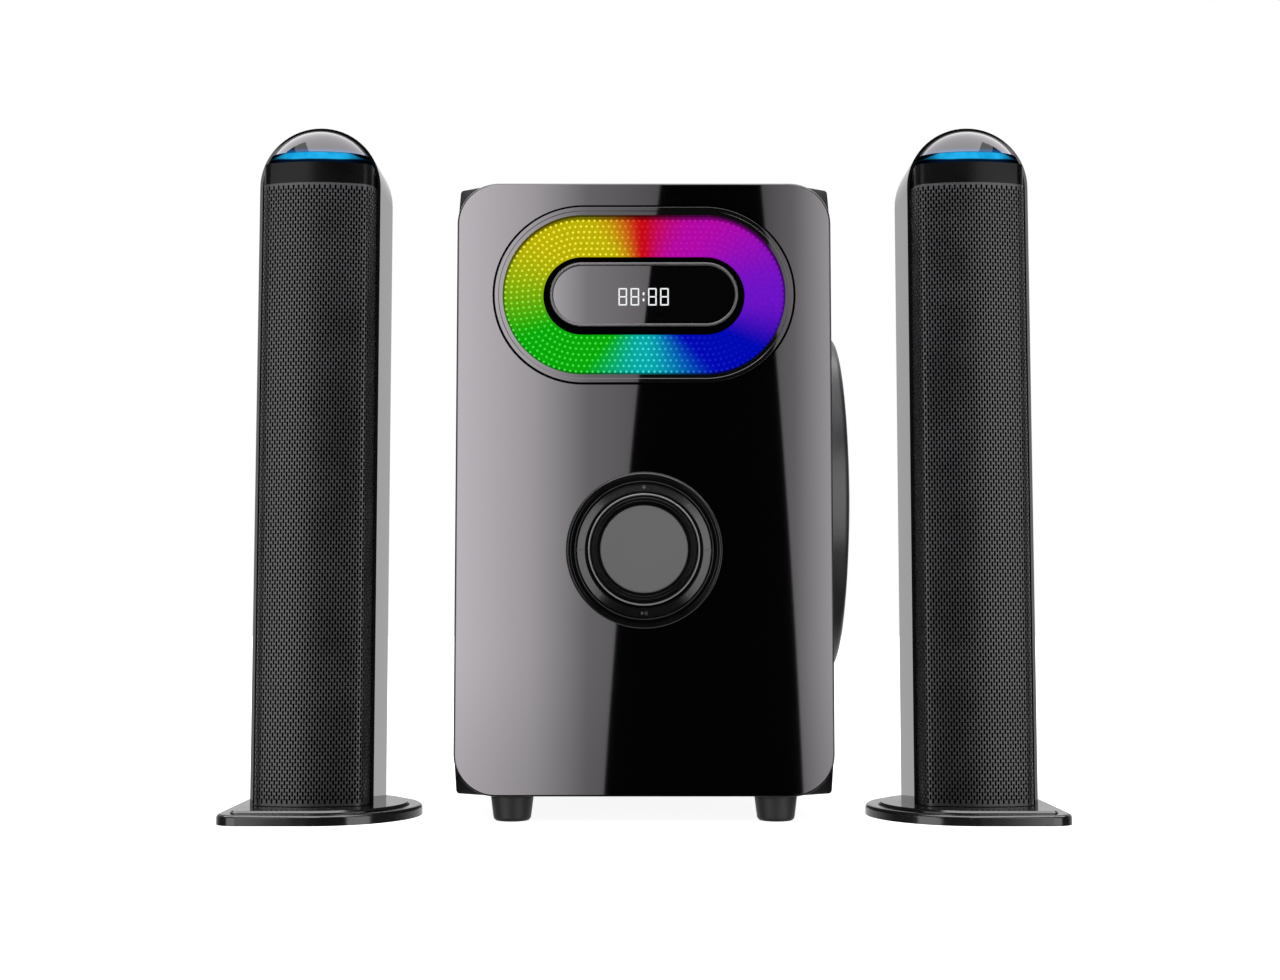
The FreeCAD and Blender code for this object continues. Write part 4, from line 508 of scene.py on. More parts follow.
def grille_curve(node):
    """The grille's outline across the tower: a function from length along it to (x, y)."""
    low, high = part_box(node)
    centre_x, half = (low.x + high.x) / 2, (high.x - low.x) / 2
    crown_y = low.y + GRILLE_CROWN
    side_angle = math.atan2(1, GRILLE_LEAN)
    reach = GRILLE_CROWN - GRILLE_CORNER
    offset = half * math.sin(side_angle) + math.cos(side_angle) * (crown_y - high.y) - GRILLE_CORNER
    corner_angle = side_angle - math.acos(offset / reach)
    corner = Vector((reach * math.sin(corner_angle), crown_y - reach * math.cos(corner_angle)))
    crown_length = GRILLE_CROWN * corner_angle
    corner_length = GRILLE_CORNER * (side_angle - corner_angle)
    side_start = corner + GRILLE_CORNER * Vector((math.sin(side_angle), -math.cos(side_angle)))
    side_length = (Vector((half, high.y)) - side_start).length

    def at(along):
        side, length = math.copysign(1, along), abs(along)
        if length < crown_length:
            turn = length / GRILLE_CROWN
            x, y = GRILLE_CROWN * math.sin(turn), crown_y - GRILLE_CROWN * math.cos(turn)
        elif length < crown_length + corner_length:
            turn = corner_angle + (length - crown_length) / GRILLE_CORNER
            x, y = corner + GRILLE_CORNER * Vector((math.sin(turn), -math.cos(turn)))
        else:
            rest = length - crown_length - corner_length
            x, y = side_start + rest * Vector((math.cos(side_angle), math.sin(side_angle)))
        return centre_x + side * x, y

    return at, crown_length + corner_length + side_length


def slot_tile(low, high, bottom, top):
    """One cell of the sheet, as (points, faces) in (along, height), with a slot in its middle."""
    a, b = (low + high) / 2, (bottom + top) / 2
    half, tall, cut = SLOT_WIDTH / 2, SLOT_HEIGHT / 2, SLOT_CORNER
    outer = [(low, bottom), (low, b), (low, top), (high, top), (high, b), (high, bottom)]
    hole = [(a - half, b - tall + cut), (a - half, b + tall - cut), (a - half + cut, b + tall),
            (a + half - cut, b + tall), (a + half, b + tall - cut), (a + half, b - tall + cut),
            (a + half - cut, b - tall), (a - half + cut, b - tall)]
    faces = [(0, 1, 2, 7, 6), (2, 8, 7), (2, 3, 9, 8), (3, 10, 9),
             (3, 4, 5, 11, 10), (5, 12, 11), (5, 0, 13, 12), (0, 6, 13)]
    return outer + hole, faces


def make_tower_grille(side):
    """The bent sheet, punched with staggered upright slots between two plain bands."""
    node = side + "_grille"
    low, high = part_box(node)
    at, half_length = grille_curve(node)
    columns = int(2 * half_length / SLOT_PITCH) // 2 * 2
    rows = int((high.z - low.z) / SLOT_PERIOD - 0.6)
    first = -columns * SLOT_PITCH / 2
    bottom = (low.z + high.z - (rows + 0.5) * SLOT_PERIOD) / 2
    top = bottom + (rows + 0.5) * SLOT_PERIOD
    shapes = []
    for column in range(columns):
        start = first + column * SLOT_PITCH
        end = start + SLOT_PITCH
        lift = column % 2 * SLOT_PERIOD / 2
        for row in range(rows):
            level = bottom + lift + row * SLOT_PERIOD
            shapes.append(slot_tile(start, end, level, level + SLOT_PERIOD))
        spare = top - SLOT_PERIOD / 2 if lift == 0 else bottom
        shapes.append(flat_cell(start, end, spare, spare + SLOT_PERIOD / 2))
        shapes.append(flat_cell(start, end, low.z, bottom))
        shapes.append(flat_cell(start, end, top, high.z))
    for start, end in ((-half_length, first), (-first, half_length)):
        levels = [bottom + i * SLOT_PERIOD / 2 for i in range(2 * rows + 2)]
        for below, above in zip([low.z] + levels, levels + [high.z]):
            shapes.append(flat_cell(start, end, below, above))
    points, faces = joined(*shapes)
    bent = [(*at(along), height) for along, height in points]
    new_piece(side + "_mesh_grille", bent, faces, side + "_tower", "grille_mesh", [node],
              thickness=GRILLE_SHEET, crease=25)
    make_grille_cloth(side, at, half_length)


def make_grille_cloth(side, at, half_length):
    """Black cloth on the inside of the sheet, which hides the drivers."""
    low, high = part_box(side + "_grille")
    middle = (low.x + high.x) / 2
    points = []
    for i in range(CLOTH_STEPS + 1):
        x, y = at(half_length * (2 * i / CLOTH_STEPS - 1))
        x = middle + (x - middle) * CLOTH_SHARE
        points += [(x, min(y + CLOTH_GAP, high.y - 0.3 * MM), z) for z in (low.z + 1 * MM, high.z - 1 * MM)]
    faces = [(2 * i, 2 * i + 2, 2 * i + 3, 2 * i + 1) for i in range(CLOTH_STEPS)]
    new_piece(side + "_grille_cloth", points, faces, side + "_tower", "grille_mesh", material=CLOTH_BLACK,
              thickness=0.4 * MM)


def flat_cell(low, high, bottom, top):
    return [(low, bottom), (high, bottom), (high, top), (low, top)], [(0, 1, 2, 3)]


# -------------------- the woofer's grille

DOT_PITCH = 3.6 * MM
DOT_RADIUS = 1.25 * MM
DOT_SIDES = 12
DOME_BAND = 7 * MM
DOME_SHEET = 0.9 * MM


def make_woofer_grille():
    """A domed sheet punched with round holes, in a rolled steel ring."""
    base = (GRILLE_HIGH.y - GRILLE_LOW.y) / 2
    shoulder, shoulder_height = base - 3.5 * MM, 13 * MM
    crown = GRILLE_HIGH.x - GRILLE_LOW.x
    rise = crown - shoulder_height
    curve = (shoulder ** 2 + rise ** 2) / (2 * rise)
    place = facing_right(GRILLE_LOW.x, WOOFER_Y, WOOFER_Z)

    def dome(radius):
        return math.sqrt(curve ** 2 - radius ** 2) - curve + crown

    inner = shoulder - DOME_BAND
    section = rounded([(base - 1.5 * MM, 0), (base, 0), (shoulder, shoulder_height, 2.5 * MM),
                       (inner, dome(inner)), (inner, dome(inner) - DOME_SHEET),
                       (shoulder - 1.5 * MM, shoulder_height - 1.2 * MM, 2 * MM)], 0.2 * MM, steps=4)
    ring = turned(section, place, half=64)
    new_piece("woofer_grille_ring", *ring, "root", "grille_mesh", ["woofer_grille"])

    shapes = []
    row_pitch = DOT_PITCH * math.sqrt(3) / 2
    reach = inner + DOT_PITCH / 2
    rows = int(reach / row_pitch)
    corner = DOT_PITCH / math.sqrt(3)
    for row in range(-rows, rows + 1):
        for column in range(-rows - 1, rows + 2):
            a, b = (column + row % 2 / 2) * DOT_PITCH, row * row_pitch
            if math.hypot(a, b) < reach:
                shapes.append(dot_tile(a, b, corner))
    points, faces = joined(*shapes)
    domed = [place(a, b, dome(math.hypot(a, b)) - 0.1 * MM) for a, b in points]
    new_piece("woofer_mesh", domed, faces, "root", "grille_mesh", thickness=DOME_SHEET)


def dot_tile(a, b, corner):
    """A hexagonal cell with a round hole, its corners up and down."""
    points, faces = [], []
    for i in range(DOT_SIDES):
        turn = math.pi / 6 + 2 * math.pi * i / DOT_SIDES
        distance = corner if i % 2 == 0 else corner * math.cos(math.pi / 6)
        points.append((a + distance * math.cos(turn), b + distance * math.sin(turn)))
        points.append((a + DOT_RADIUS * math.cos(turn), b + DOT_RADIUS * math.sin(turn)))
        following = (2 * i + 2) % (2 * DOT_SIDES)
        faces.append((2 * i, following, following + 1, 2 * i + 1))
    return points, faces


# -------------------- the light ring and display

LIP_WALL = 3.8 * MM
LIP_DROP = 1.5 * MM
TRIM_OUTER, TRIM_OUTER_HALF = 48.3 * MM, 80.8 * MM
GROOVE = 0.8 * MM
DOT_ROWS = 7
ROW_PITCH = 3.05 * MM
ALONG_PITCH = 3.0 * MM
LAMP_RADIUS = 0.68 * MM
LAMP_RISE = 0.15 * MM
FIRST_ROW = 22.6 * MM


def stadium_point(radius, run, along):
    """A point on a stadium's outline, by the length along it, anticlockwise."""
    straight, bend = 2 * run, math.pi * radius
    along %= 2 * (straight + bend)
    side = 1
    if along >= straight + bend:
        along -= straight + bend
        side = -1
    if along < straight:
        return side * (along - run), -side * radius
    turn = (along - straight) / radius - math.pi / 2
    return side * (run + radius * math.cos(turn)), side * radius * math.sin(turn)


def make_ring_dots():
    """Seven staggered rows of small lit domes on the diffuser."""
    section = [(LAMP_RADIUS, 0), (LAMP_RADIUS * 0.8, LAMP_RISE * 0.7), (0, LAMP_RISE)]
    shapes = []
    for row in range(DOT_ROWS):
        radius = FIRST_ROW + row * ROW_PITCH
        length = 4 * RING_RUN + 2 * math.pi * radius
        count = round(length / ALONG_PITCH)
        for i in range(count):
            x, z = stadium_point(radius, RING_RUN, (i + row % 2 / 2) * length / count)
            place = facing_front(x, DIFFUSER_FRONT, RING_Z + z)
            shapes.append(turned(section, place, closed=False, half=5))
    new_piece("ring_dots", *joined(*shapes), "root", "light_ring", material=DOT_LIGHT)


def make_trim():
    """The collar round the ring: a flat gloss lip with a fine step, and a groove round it whose floor is
    painted shade.
    """
    place = facing_front(0, PANEL_FRONT, RING_Z)
    run = TRIM_OUTER_HALF - TRIM_OUTER
    proud = PANEL_FRONT - TRIM_FRONT
    lip = TRIM_OUTER - LIP_WALL - LIP_DROP
    edge = TRIM_OUTER - GROOVE
    back = -13 * MM
    low_face = proud - 0.15 * MM
    section = rounded([(lip, back), (lip, low_face, 0.05 * MM),
                       (lip + 2.1 * MM, low_face), (lip + 2.3 * MM, proud),
                       (edge - 0.25 * MM, proud), (edge, proud - 0.3 * MM), (edge, back)], 0.08 * MM)
    new_piece("ring_trim", *turned(section, place, run, half=72), "root", "trim_gloss", ["light_trim"])
    # the groove's floor: a dead black strip of painted shade, just proud of the panel
    groove = [(edge - 0.2 * MM, -0.5 * MM), (edge - 0.2 * MM, 0.04 * MM), (TRIM_OUTER, 0.04 * MM),
              (TRIM_OUTER, -0.5 * MM)]
    new_piece("ring_trim_groove", *turned(groove, place, run, half=72), "root", "trim_gloss",
              material=SHADE_BLACK)


def make_pod():
    """The rim round the display: a black wall that leans in, made dead matt as painted shade, and a grey
    satin face.
    """
    place = facing_front(0, PANEL_FRONT, RING_Z)
    outer = (POD_HIGH.z - POD_LOW.z) / 2 - 3 * MM
    run = (POD_HIGH.x - POD_LOW.x) / 2 - 3 * MM - outer
    proud = PANEL_FRONT - POD_LOW.y
    inner = (WINDOW_HIGH.z - WINDOW_LOW.z) / 2 + 0.1 * MM
    face = outer - 2.7 * MM
    foot = outer + 1 * MM
    back, ledge = -9 * MM, proud - 0.35 * MM
    # the wall is dead matt black: partly its own colour, partly painted shade
    wall = rounded([(foot, back), (foot, -3.4 * MM), (face + 0.15 * MM, ledge),
                    (inner + 0.5 * MM, ledge), (inner + 0.5 * MM, back)], 0.1 * MM)
    new_piece("display_wall", *turned(wall, place, run, half=60), "root", "trim_gloss", ["display_pod"],
              material=SHADE_BLACK)
    rim = rounded([(face, proud - 0.5 * MM), (face, proud - 0.3 * MM, 0.1 * MM),
                   (face - 0.4 * MM, proud, 0.2 * MM), (inner + 0.5 * MM, proud, 0.2 * MM),
                   (inner, proud - 0.5 * MM, 0.2 * MM), (inner, proud - 2.2 * MM),
                   (inner + 0.6 * MM, proud - 2.2 * MM), (inner + 0.6 * MM, proud - 0.5 * MM)], 0.05 * MM)
    new_piece("display_rim", *turned(rim, place, run, half=60), "root", "trim_gloss", material=RIM_GREY)


DIGIT_WIDTH = 4.6 * MM
DIGIT_HEIGHT = 9.4 * MM
DIGIT_STROKE = 0.72 * MM
DIGIT_GAP = 0.1 * MM
DIGIT_PLACES = (-11.35 * MM, -4.9 * MM, 4.45 * MM, 10.9 * MM)
COLON_X = -0.25 * MM
DIGITS_DROP = 1.2 * MM
COLON_RISE = 1.65 * MM
COLON_HALF_WIDTH, COLON_HALF_HEIGHT = 0.55 * MM, 0.9 * MM
DIGITS_PROUD, DIGITS_SUNK = 0.06 * MM, -0.05 * MM


def make_digits():
    """Four seven-segment digits with mitred segments, and a colon, lit in the window."""
    place = facing_front(0, WINDOW_LOW.y, RING_Z - DIGITS_DROP)
    half, tall, stroke, gap = DIGIT_WIDTH / 2, DIGIT_HEIGHT / 2, DIGIT_STROKE, DIGIT_GAP
    mitre, tip = half - stroke - gap, half - stroke / 2 - gap
    edge = [(-half + gap, tall), (half - gap, tall), (mitre, tall - stroke), (-mitre, tall - stroke)]
    bar = [(-tip, 0), (-mitre, stroke / 2), (mitre, stroke / 2),
           (tip, 0), (mitre, -stroke / 2), (-mitre, -stroke / 2)]
    side = [(half, tall - gap), (half, gap), (half - stroke / 2, gap),
            (half - stroke, stroke / 2 + gap), (half - stroke, tall - stroke - gap)]
    shapes = []
    for centre in DIGIT_PLACES:
        outlines = [bar] + [[(a, b * flip) for a, b in edge] for flip in (1, -1)]
        outlines += [[(a * mirror, b * flip) for a, b in side] for mirror in (1, -1) for flip in (1, -1)]
        for outline in outlines:
            shapes.append(prism(shifted(outline, centre), place, DIGITS_SUNK, DIGITS_PROUD))
    dot = [(COLON_HALF_WIDTH * math.cos(i * math.pi / 8), COLON_HALF_HEIGHT * math.sin(i * math.pi / 8))
           for i in range(16)]
    for level in (-COLON_RISE, COLON_RISE):
        shapes.append(prism(shifted(dot, COLON_X, level), place, DIGITS_SUNK, DIGITS_PROUD))
    new_piece("clock_digits", *joined(*shapes), "root", "display_digits", material=DIGIT_LIGHT)


# -------------------- the volume knob

KNOB_RADIUS = (KNOB_HIGH.x - KNOB_LOW.x) / 2
CAP_RADIUS = 22.9 * MM
KEY_INNER, KEY_OUTER = 29.9 * MM, 36.8 * MM
KEY_CREST, KEY_CREST_LEVEL = 31.0 * MM, -0.3 * MM
KEY_VALLEY, KEY_VALLEY_LEVEL = 35.7 * MM, -1.55 * MM
BEZEL_INNER, BEZEL_OUTER, BEZEL_PROUD = 37.1 * MM, 41.2 * MM, 2 * MM
CUP_RADIUS, CUP_BORE = 39.3 * MM, 3.5 * MM
CUP_BACK, CUP_FLOOR = -13 * MM, -11 * MM
SKIRT_TOP, KNOB_SEAT, KNOB_FACE = 9.4 * MM, 12 * MM, 14 * MM
HIGHLIGHT_LINE_HALF = 0.27 * MM
KNOB_PLACE = facing_front(0, PANEL_FRONT, KNOB_Z)


def make_bezel():
    """The cup behind the keys, with a gloss lip on the panel."""
    section = rounded([(CUP_BORE, CUP_BACK), (CUP_RADIUS, CUP_BACK), (CUP_RADIUS, 0), (BEZEL_OUTER, 0),
                       (BEZEL_OUTER, BEZEL_PROUD - 0.9 * MM, 0.5 * MM),
                       (BEZEL_OUTER - 0.8 * MM, BEZEL_PROUD, 0.5 * MM),
                       (BEZEL_INNER + 1.6 * MM, BEZEL_PROUD, 0.3 * MM),
                       (BEZEL_INNER, BEZEL_PROUD - 1.3 * MM, 0.4 * MM),
                       (BEZEL_INNER, CUP_FLOOR), (CUP_BORE, CUP_FLOOR)], 0.15 * MM)
    new_piece("knob_bezel", *turned(section, KNOB_PLACE, half=90), "root", "bezel_gloss",
              ["control_bezel"])


def make_keys():
    """The ring of keys: it slopes away from the knob, to a valley inside its outer lip."""
    section = rounded([(KEY_INNER, -6 * MM), (KEY_OUTER, -6 * MM), (KEY_OUTER, -0.1 * MM, 0.2 * MM),
                       (KEY_OUTER - 0.6 * MM, -0.1 * MM, 0.2 * MM),
                       (KEY_VALLEY, KEY_VALLEY_LEVEL, 0.4 * MM), (KEY_CREST, KEY_CREST_LEVEL, 0.8 * MM),
                       (KEY_INNER, -0.9 * MM, 0.2 * MM)], 0.15 * MM, steps=5)
    new_piece("key_band", *turned(section, KNOB_PLACE, half=90), "key_ring", "key_satin", ["key_ring"])


def make_highlight_line(name, radius, level, body, slot):
    """A fine painted highlight line on a turned edge of the control."""
    half = HIGHLIGHT_LINE_HALF
    section = rounded([(radius - half, level - 2 * half), (radius + half, level - 2 * half),
                       (radius + half, level), (radius - half, level)], 0.12 * MM)
    new_piece(name, *turned(section, KNOB_PLACE, half=90), body, slot, material=HIGHLIGHT_GREY)


def key_height(a, b):
    """Height of the key ring's sloping face at a point."""
    share = (math.hypot(a, b) - KEY_CREST) / (KEY_VALLEY - KEY_CREST)
    return KEY_CREST_LEVEL + share * (KEY_VALLEY_LEVEL - KEY_CREST_LEVEL) + 0.06 * MM


TRIANGLE = [(-0.5, -0.6), (0.6, 0), (-0.5, 0.6)]
BAR = [(-0.12, -0.6), (0.12, -0.6), (0.12, 0.6), (-0.12, 0.6)]
SQUARE = [(-0.5, -0.5), (0.5, -0.5), (0.5, 0.5), (-0.5, 0.5)]
DISC = [(0.55 * math.cos(i * math.pi / 6), 0.55 * math.sin(i * math.pi / 6)) for i in range(12)]
ICONS = (  # the keys' generic signs, anticlockwise from the right: (outline, x, y, turn in quarters)
    ((TRIANGLE, -0.35, 0, 0), (TRIANGLE, 0.55, 0, 0), (BAR, 1.3, 0, 0)),
    ((BAR, 0, 0, 0), (BAR, 0, 0, 1)),
    ((DISC, 0, 0, 0),),
    ((BAR, -0.5, 0, 1), (BAR, 0.5, 0, 1), (BAR, 0, -0.6, 1)),
    ((TRIANGLE, 0.35, 0, 2), (TRIANGLE, -0.55, 0, 2), (BAR, -1.3, 0, 0)),
    ((SQUARE, 0, 0, 0),),
    ((TRIANGLE, -0.5, 0, 0), (BAR, 0.45, 0, 0), (BAR, 0.95, 0, 0)),
    ((BAR, -0.35, 0, 0), (BAR, 0.35, 0, 0)),
)
ICON_SIZE = 1.6 * MM


def make_icons():
    """The signs stand a little proud of the keys' sloping face."""
    middle = (KEY_INNER + KEY_OUTER) / 2
    shapes = []
    for i, parts in enumerate(ICONS):
        turn = 2 * math.pi * i / len(ICONS)
        for outline, x, y, quarters in parts:
            drawn = shifted(outline, x, y, angle=quarters * math.pi / 2)
            placed = shifted(drawn, middle * math.cos(turn), middle * math.sin(turn), ICON_SIZE)
            shapes.append(prism(placed, KNOB_PLACE, lambda a, b: key_height(a, b) - 0.1 * MM, key_height))
    new_piece("key_icons", *joined(*shapes), "key_ring", "key_satin", material=ICON_PAINT)


def make_knob():
    """A turned knob: a skirt with a bead on it, whose pale grey is partly its own colour and partly a
    painted reflection of a polished ring, a leaning wall, a groove in the rim, and a disc in a recessed
    seat."""
    r = KNOB_RADIUS
    groove = KNOB_FACE - 0.3 * MM
    section = rounded([(27 * MM, -3 * MM), (r, -3 * MM), (r, SKIRT_TOP, 0.3 * MM),
                       (27.6 * MM, SKIRT_TOP, 0.1 * MM),
                       (27.0 * MM, KNOB_FACE - 0.6 * MM, 0.3 * MM), (26.7 * MM, KNOB_FACE, 0.2 * MM),
                       (26.1 * MM, KNOB_FACE, 0.1 * MM), (25.9 * MM, groove, 0.1 * MM),
                       (25.4 * MM, groove, 0.1 * MM), (25.2 * MM, KNOB_FACE, 0.1 * MM),
                       (24.6 * MM, KNOB_FACE, 0.2 * MM), (23.8 * MM, KNOB_SEAT, 0.1 * MM),
                       (0, KNOB_SEAT, 0), (0, 9 * MM, 0), (27 * MM, 9 * MM)], 0.2 * MM)
    new_piece("knob_shell", *turned(section, KNOB_PLACE, half=90), "volume_knob", "knob_gloss",
              ["volume_knob"])
    bead = rounded([(r - 1.1 * MM, SKIRT_TOP - 0.2 * MM), (r - 0.1 * MM, SKIRT_TOP - 0.2 * MM),
                    (r - 0.1 * MM, SKIRT_TOP + 0.6 * MM, 0.4 * MM),
                    (r - 0.6 * MM, SKIRT_TOP + 1.0 * MM, 0.3 * MM),
                    (r - 1.1 * MM, SKIRT_TOP + 0.6 * MM, 0.3 * MM)], 0.1 * MM, steps=5)
    # the bead's pale grey is partly a painted reflection
    new_piece("knob_bead", *turned(bead, KNOB_PLACE, half=90), "volume_knob", "knob_gloss",
              material=BEAD_PAINTED_SHEEN)
    top = KNOB_SEAT + 1.2 * MM
    cap = rounded([(0, KNOB_SEAT, 0), (CAP_RADIUS, KNOB_SEAT), (CAP_RADIUS, top - 0.5 * MM, 0.2 * MM),
                   (CAP_RADIUS - 0.5 * MM, top, 0.25 * MM), (0, top, 0)], 0.1 * MM, closed=False)
    new_piece("knob_disc", *turned(cap, KNOB_PLACE, closed=False, half=90), "volume_knob", "knob_mirror",
              ["knob_cap"])


# -------------------- the rear side

PLATE_SCREW_INSET = 4 * MM
WOOFER_SCREWS = 6
WOOFER_SCREW_RADIUS, WOOFER_SCREW_SEAT = 79.5 * MM, 4 * MM


def make_screw(place):
    """A pan head with a cross recess, drawn as a dark cross of painted shade on its top, from its seat
    upwards.
    """
    head, height, slot, width = 3.5 * MM, 2.2 * MM, 1.7 * MM, 0.32 * MM
    dome = rounded([(head, 0, 0), (head, 1.0 * MM, 0.6 * MM), (2.2 * MM, height, 0.9 * MM),
                    (0, height, 0)], 0.3 * MM, closed=False, steps=4)
    arm = [(width, width), (width, slot), (-width, slot)]
    cross = [point for quarter in range(4) for point in shifted(arm, angle=quarter * math.pi / 2)]
    # the cross is a dark sheet on the head: painted shade standing for the recess
    recess = prism(cross, place, height - 0.1 * MM, height + 0.04 * MM)
    return turned(dome, place, closed=False, half=12), recess


def make_screws():
    """Six screws round the rear plate, and six that hold the woofer, behind its grille."""
    low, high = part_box("rear_plate")
    places = [facing_back(x, high.y, z)
              for x in (low.x + PLATE_SCREW_INSET, high.x - PLATE_SCREW_INSET)
              for z in (low.z + PLATE_SCREW_INSET, (low.z + high.z) / 2, high.z - PLATE_SCREW_INSET)]
    for i in range(WOOFER_SCREWS):
        turn = 2 * math.pi * i / WOOFER_SCREWS
        places.append(facing_right(GRILLE_LOW.x + WOOFER_SCREW_SEAT,
                                   WOOFER_Y + WOOFER_SCREW_RADIUS * math.cos(turn),
                                   WOOFER_Z + WOOFER_SCREW_RADIUS * math.sin(turn)))
    heads, crosses = zip(*[make_screw(place) for place in places])
    new_piece("case_screws", *joined(*heads), "root", "screw_black", ["cabinet_screws"])
    # the dark crosses are painted shade for the recesses
    new_piece("case_screw_recesses", *joined(*crosses), "root", "screw_black", material=RECESS_SHADE)


SOCKETS_X = (-36 * MM, -12 * MM, 12 * MM, 36 * MM)


def socket(place, length):
    """A phono socket: a plated barrel with a rolled rim, and an insulator with a bore."""
    barrel = rounded([(3.1 * MM, 0), (5.6 * MM, 0), (5.6 * MM, 0.5 * MM, 0.2 * MM), (4.15 * MM, 0.6 * MM),
                      (4.15 * MM, length - 0.2 * MM, 0.3 * MM), (3.7 * MM, length, 0.2 * MM),
                      (3.1 * MM, length - 0.5 * MM, 0.2 * MM)], 0.15 * MM)
    sleeve = rounded([(1.6 * MM, 0.2 * MM), (3.1 * MM, 0.2 * MM), (3.1 * MM, length - 1.0 * MM, 0.2 * MM),
                      (1.6 * MM, length - 1.0 * MM, 0.3 * MM)], 0.1 * MM)
    return turned(barrel, place, half=20), turned(sleeve, place, half=20)


def make_sockets():
    low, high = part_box("rca_jacks")
    plate_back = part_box("rear_plate")[1].y
    z = (low.z + high.z) / 2
    made = [socket(facing_back(x, plate_back, z), high.y - plate_back) for x in SOCKETS_X]
    new_piece("socket_barrels", *joined(*[barrel for barrel, sleeve in made]), "root", "jack_metal",
              ["rca_jacks"])
    new_piece("socket_sleeves_red", *joined(made[1][1], made[3][1]), "root", "jack_metal",
              material=INSULATOR_RED)
    new_piece("socket_sleeves_white", *joined(made[0][1], made[2][1]), "root", "jack_metal",
              material=INSULATOR_WHITE)
    for side in SIDES:
        low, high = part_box(side + "_line_jack")
        shell_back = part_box(side + "_shell")[1].y
        centre = ((low.x + high.x) / 2, shell_back, (low.z + high.z) / 2)
        barrel, sleeve = socket(facing_back(*centre), high.y - shell_back)
        new_piece(side + "_socket_barrel", *barrel, side + "_tower", "jack_metal", [side + "_line_jack"])
        new_piece(side + "_socket_sleeve", *sleeve, side + "_tower", "jack_metal", material=INSULATOR_RED)


def make_feet():
    """Tapered rubber feet with a rounded sole and a seat ring."""
    low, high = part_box("sub_feet")
    top_radius, sole = 11.8 * MM, 10 * MM
    height = high.z - low.z
    section = rounded([(0, 0, 0), (sole - 1.2 * MM, 0, 0.2 * MM), (sole, 1.2 * MM, 0.8 * MM),
                       (top_radius - 0.4 * MM, height - 2.2 * MM, 0.3 * MM),
                       (top_radius - 0.6 * MM, height - 1.6 * MM, 0.2 * MM),
                       (top_radius, height - 1.2 * MM, 0.3 * MM), (top_radius, height, 0), (0, height, 0)],
                      0.2 * MM, closed=False)
    shapes = [turned(section, facing_up(x, y, low.z), closed=False, half=24)
              for x in (low.x + top_radius, high.x - top_radius)
              for y in (low.y + top_radius, high.y - top_radius)]
    new_piece("rubber_feet", *joined(*shapes), "root", "foot_rubber", ["sub_feet"])


# -------------------- the stage

LENS, SENSOR = 47.764, 36  # in millimetres, as a camera's are
EYE = (-0.00215, -1.03324, 0.10906)
EYE_TILT = 94.2227  # degrees up from straight down


def make_camera():
    """The viewer's place: in front of the set, near the knob's height, looking slightly up."""
    data = bpy.data.cameras.new("camera")
    data.lens = LENS
    data.sensor_width = SENSOR
    data.clip_start = 0.01
    camera = bpy.data.objects.new("camera", data)
    camera.location = EYE
    camera.rotation_euler = (math.radians(EYE_TILT), 0, 0)
    bpy.context.scene.collection.objects.link(camera)
    bpy.context.scene.camera = camera


def stage_mesh(name, points, faces, material):
    mesh = bpy.data.meshes.new(name)
    mesh.from_pydata(points, [], faces)
    mesh.materials.append(material)
    item = bpy.data.objects.new(name, mesh)
    bpy.context.scene.collection.objects.link(item)
    return item


FLOOR_HALF = 8.0


def make_floor():
    """A plain pale floor that all but melts into the white behind it."""
    shader = Shader("floor")
    tone = shader.blend(shader.noise(shader.place(), 3 * MM), srgb(205), srgb(212))
    paint = shader.surface(Base_Color=tone, Roughness=0.9, Specular_IOR_Level=0.0,
                           Emission_Color=srgb(255), Emission_Strength=0.9)
    corners = [(x * FLOOR_HALF, y * FLOOR_HALF, 0) for x, y in ((-1, -1), (1, -1), (1, 1), (-1, 1))]
    floor = stage_mesh("floor", corners, [(0, 1, 2, 3)], paint)
    floor.visible_glossy = False


CARD_DISTANCE = 0.45
CARD_HALF_WIDTH = 0.104
CARD_LOW, CARD_HIGH = -0.05, 0.45
CARD_LEFT = (  # the light on the card's left, by place across, as panel brightness from 0 to 255
    (-0.10, 185), (-0.06, 155), (-0.03, 100), (0.01, 75))
CARD_RIGHT = ((0.06, 65), (0.08, 95), (0.10, 150))
MIRROR_SHARE = 0.04  # how much of the light a black gloss face sends back, seen straight on
CARD_PEAK = 12.0
LEFT_EDGE = (-0.022, 0.06, 0.09)  # where the light ends: its place at the floor, its lean and its bend
RIGHT_EDGE = (0.084, -0.035, -0.08)
EDGE_BLUR = 0.6 * MM
CARD_RECEIVERS = ("sub_front_panel", "display_window", "ring_trim", "display_rim")


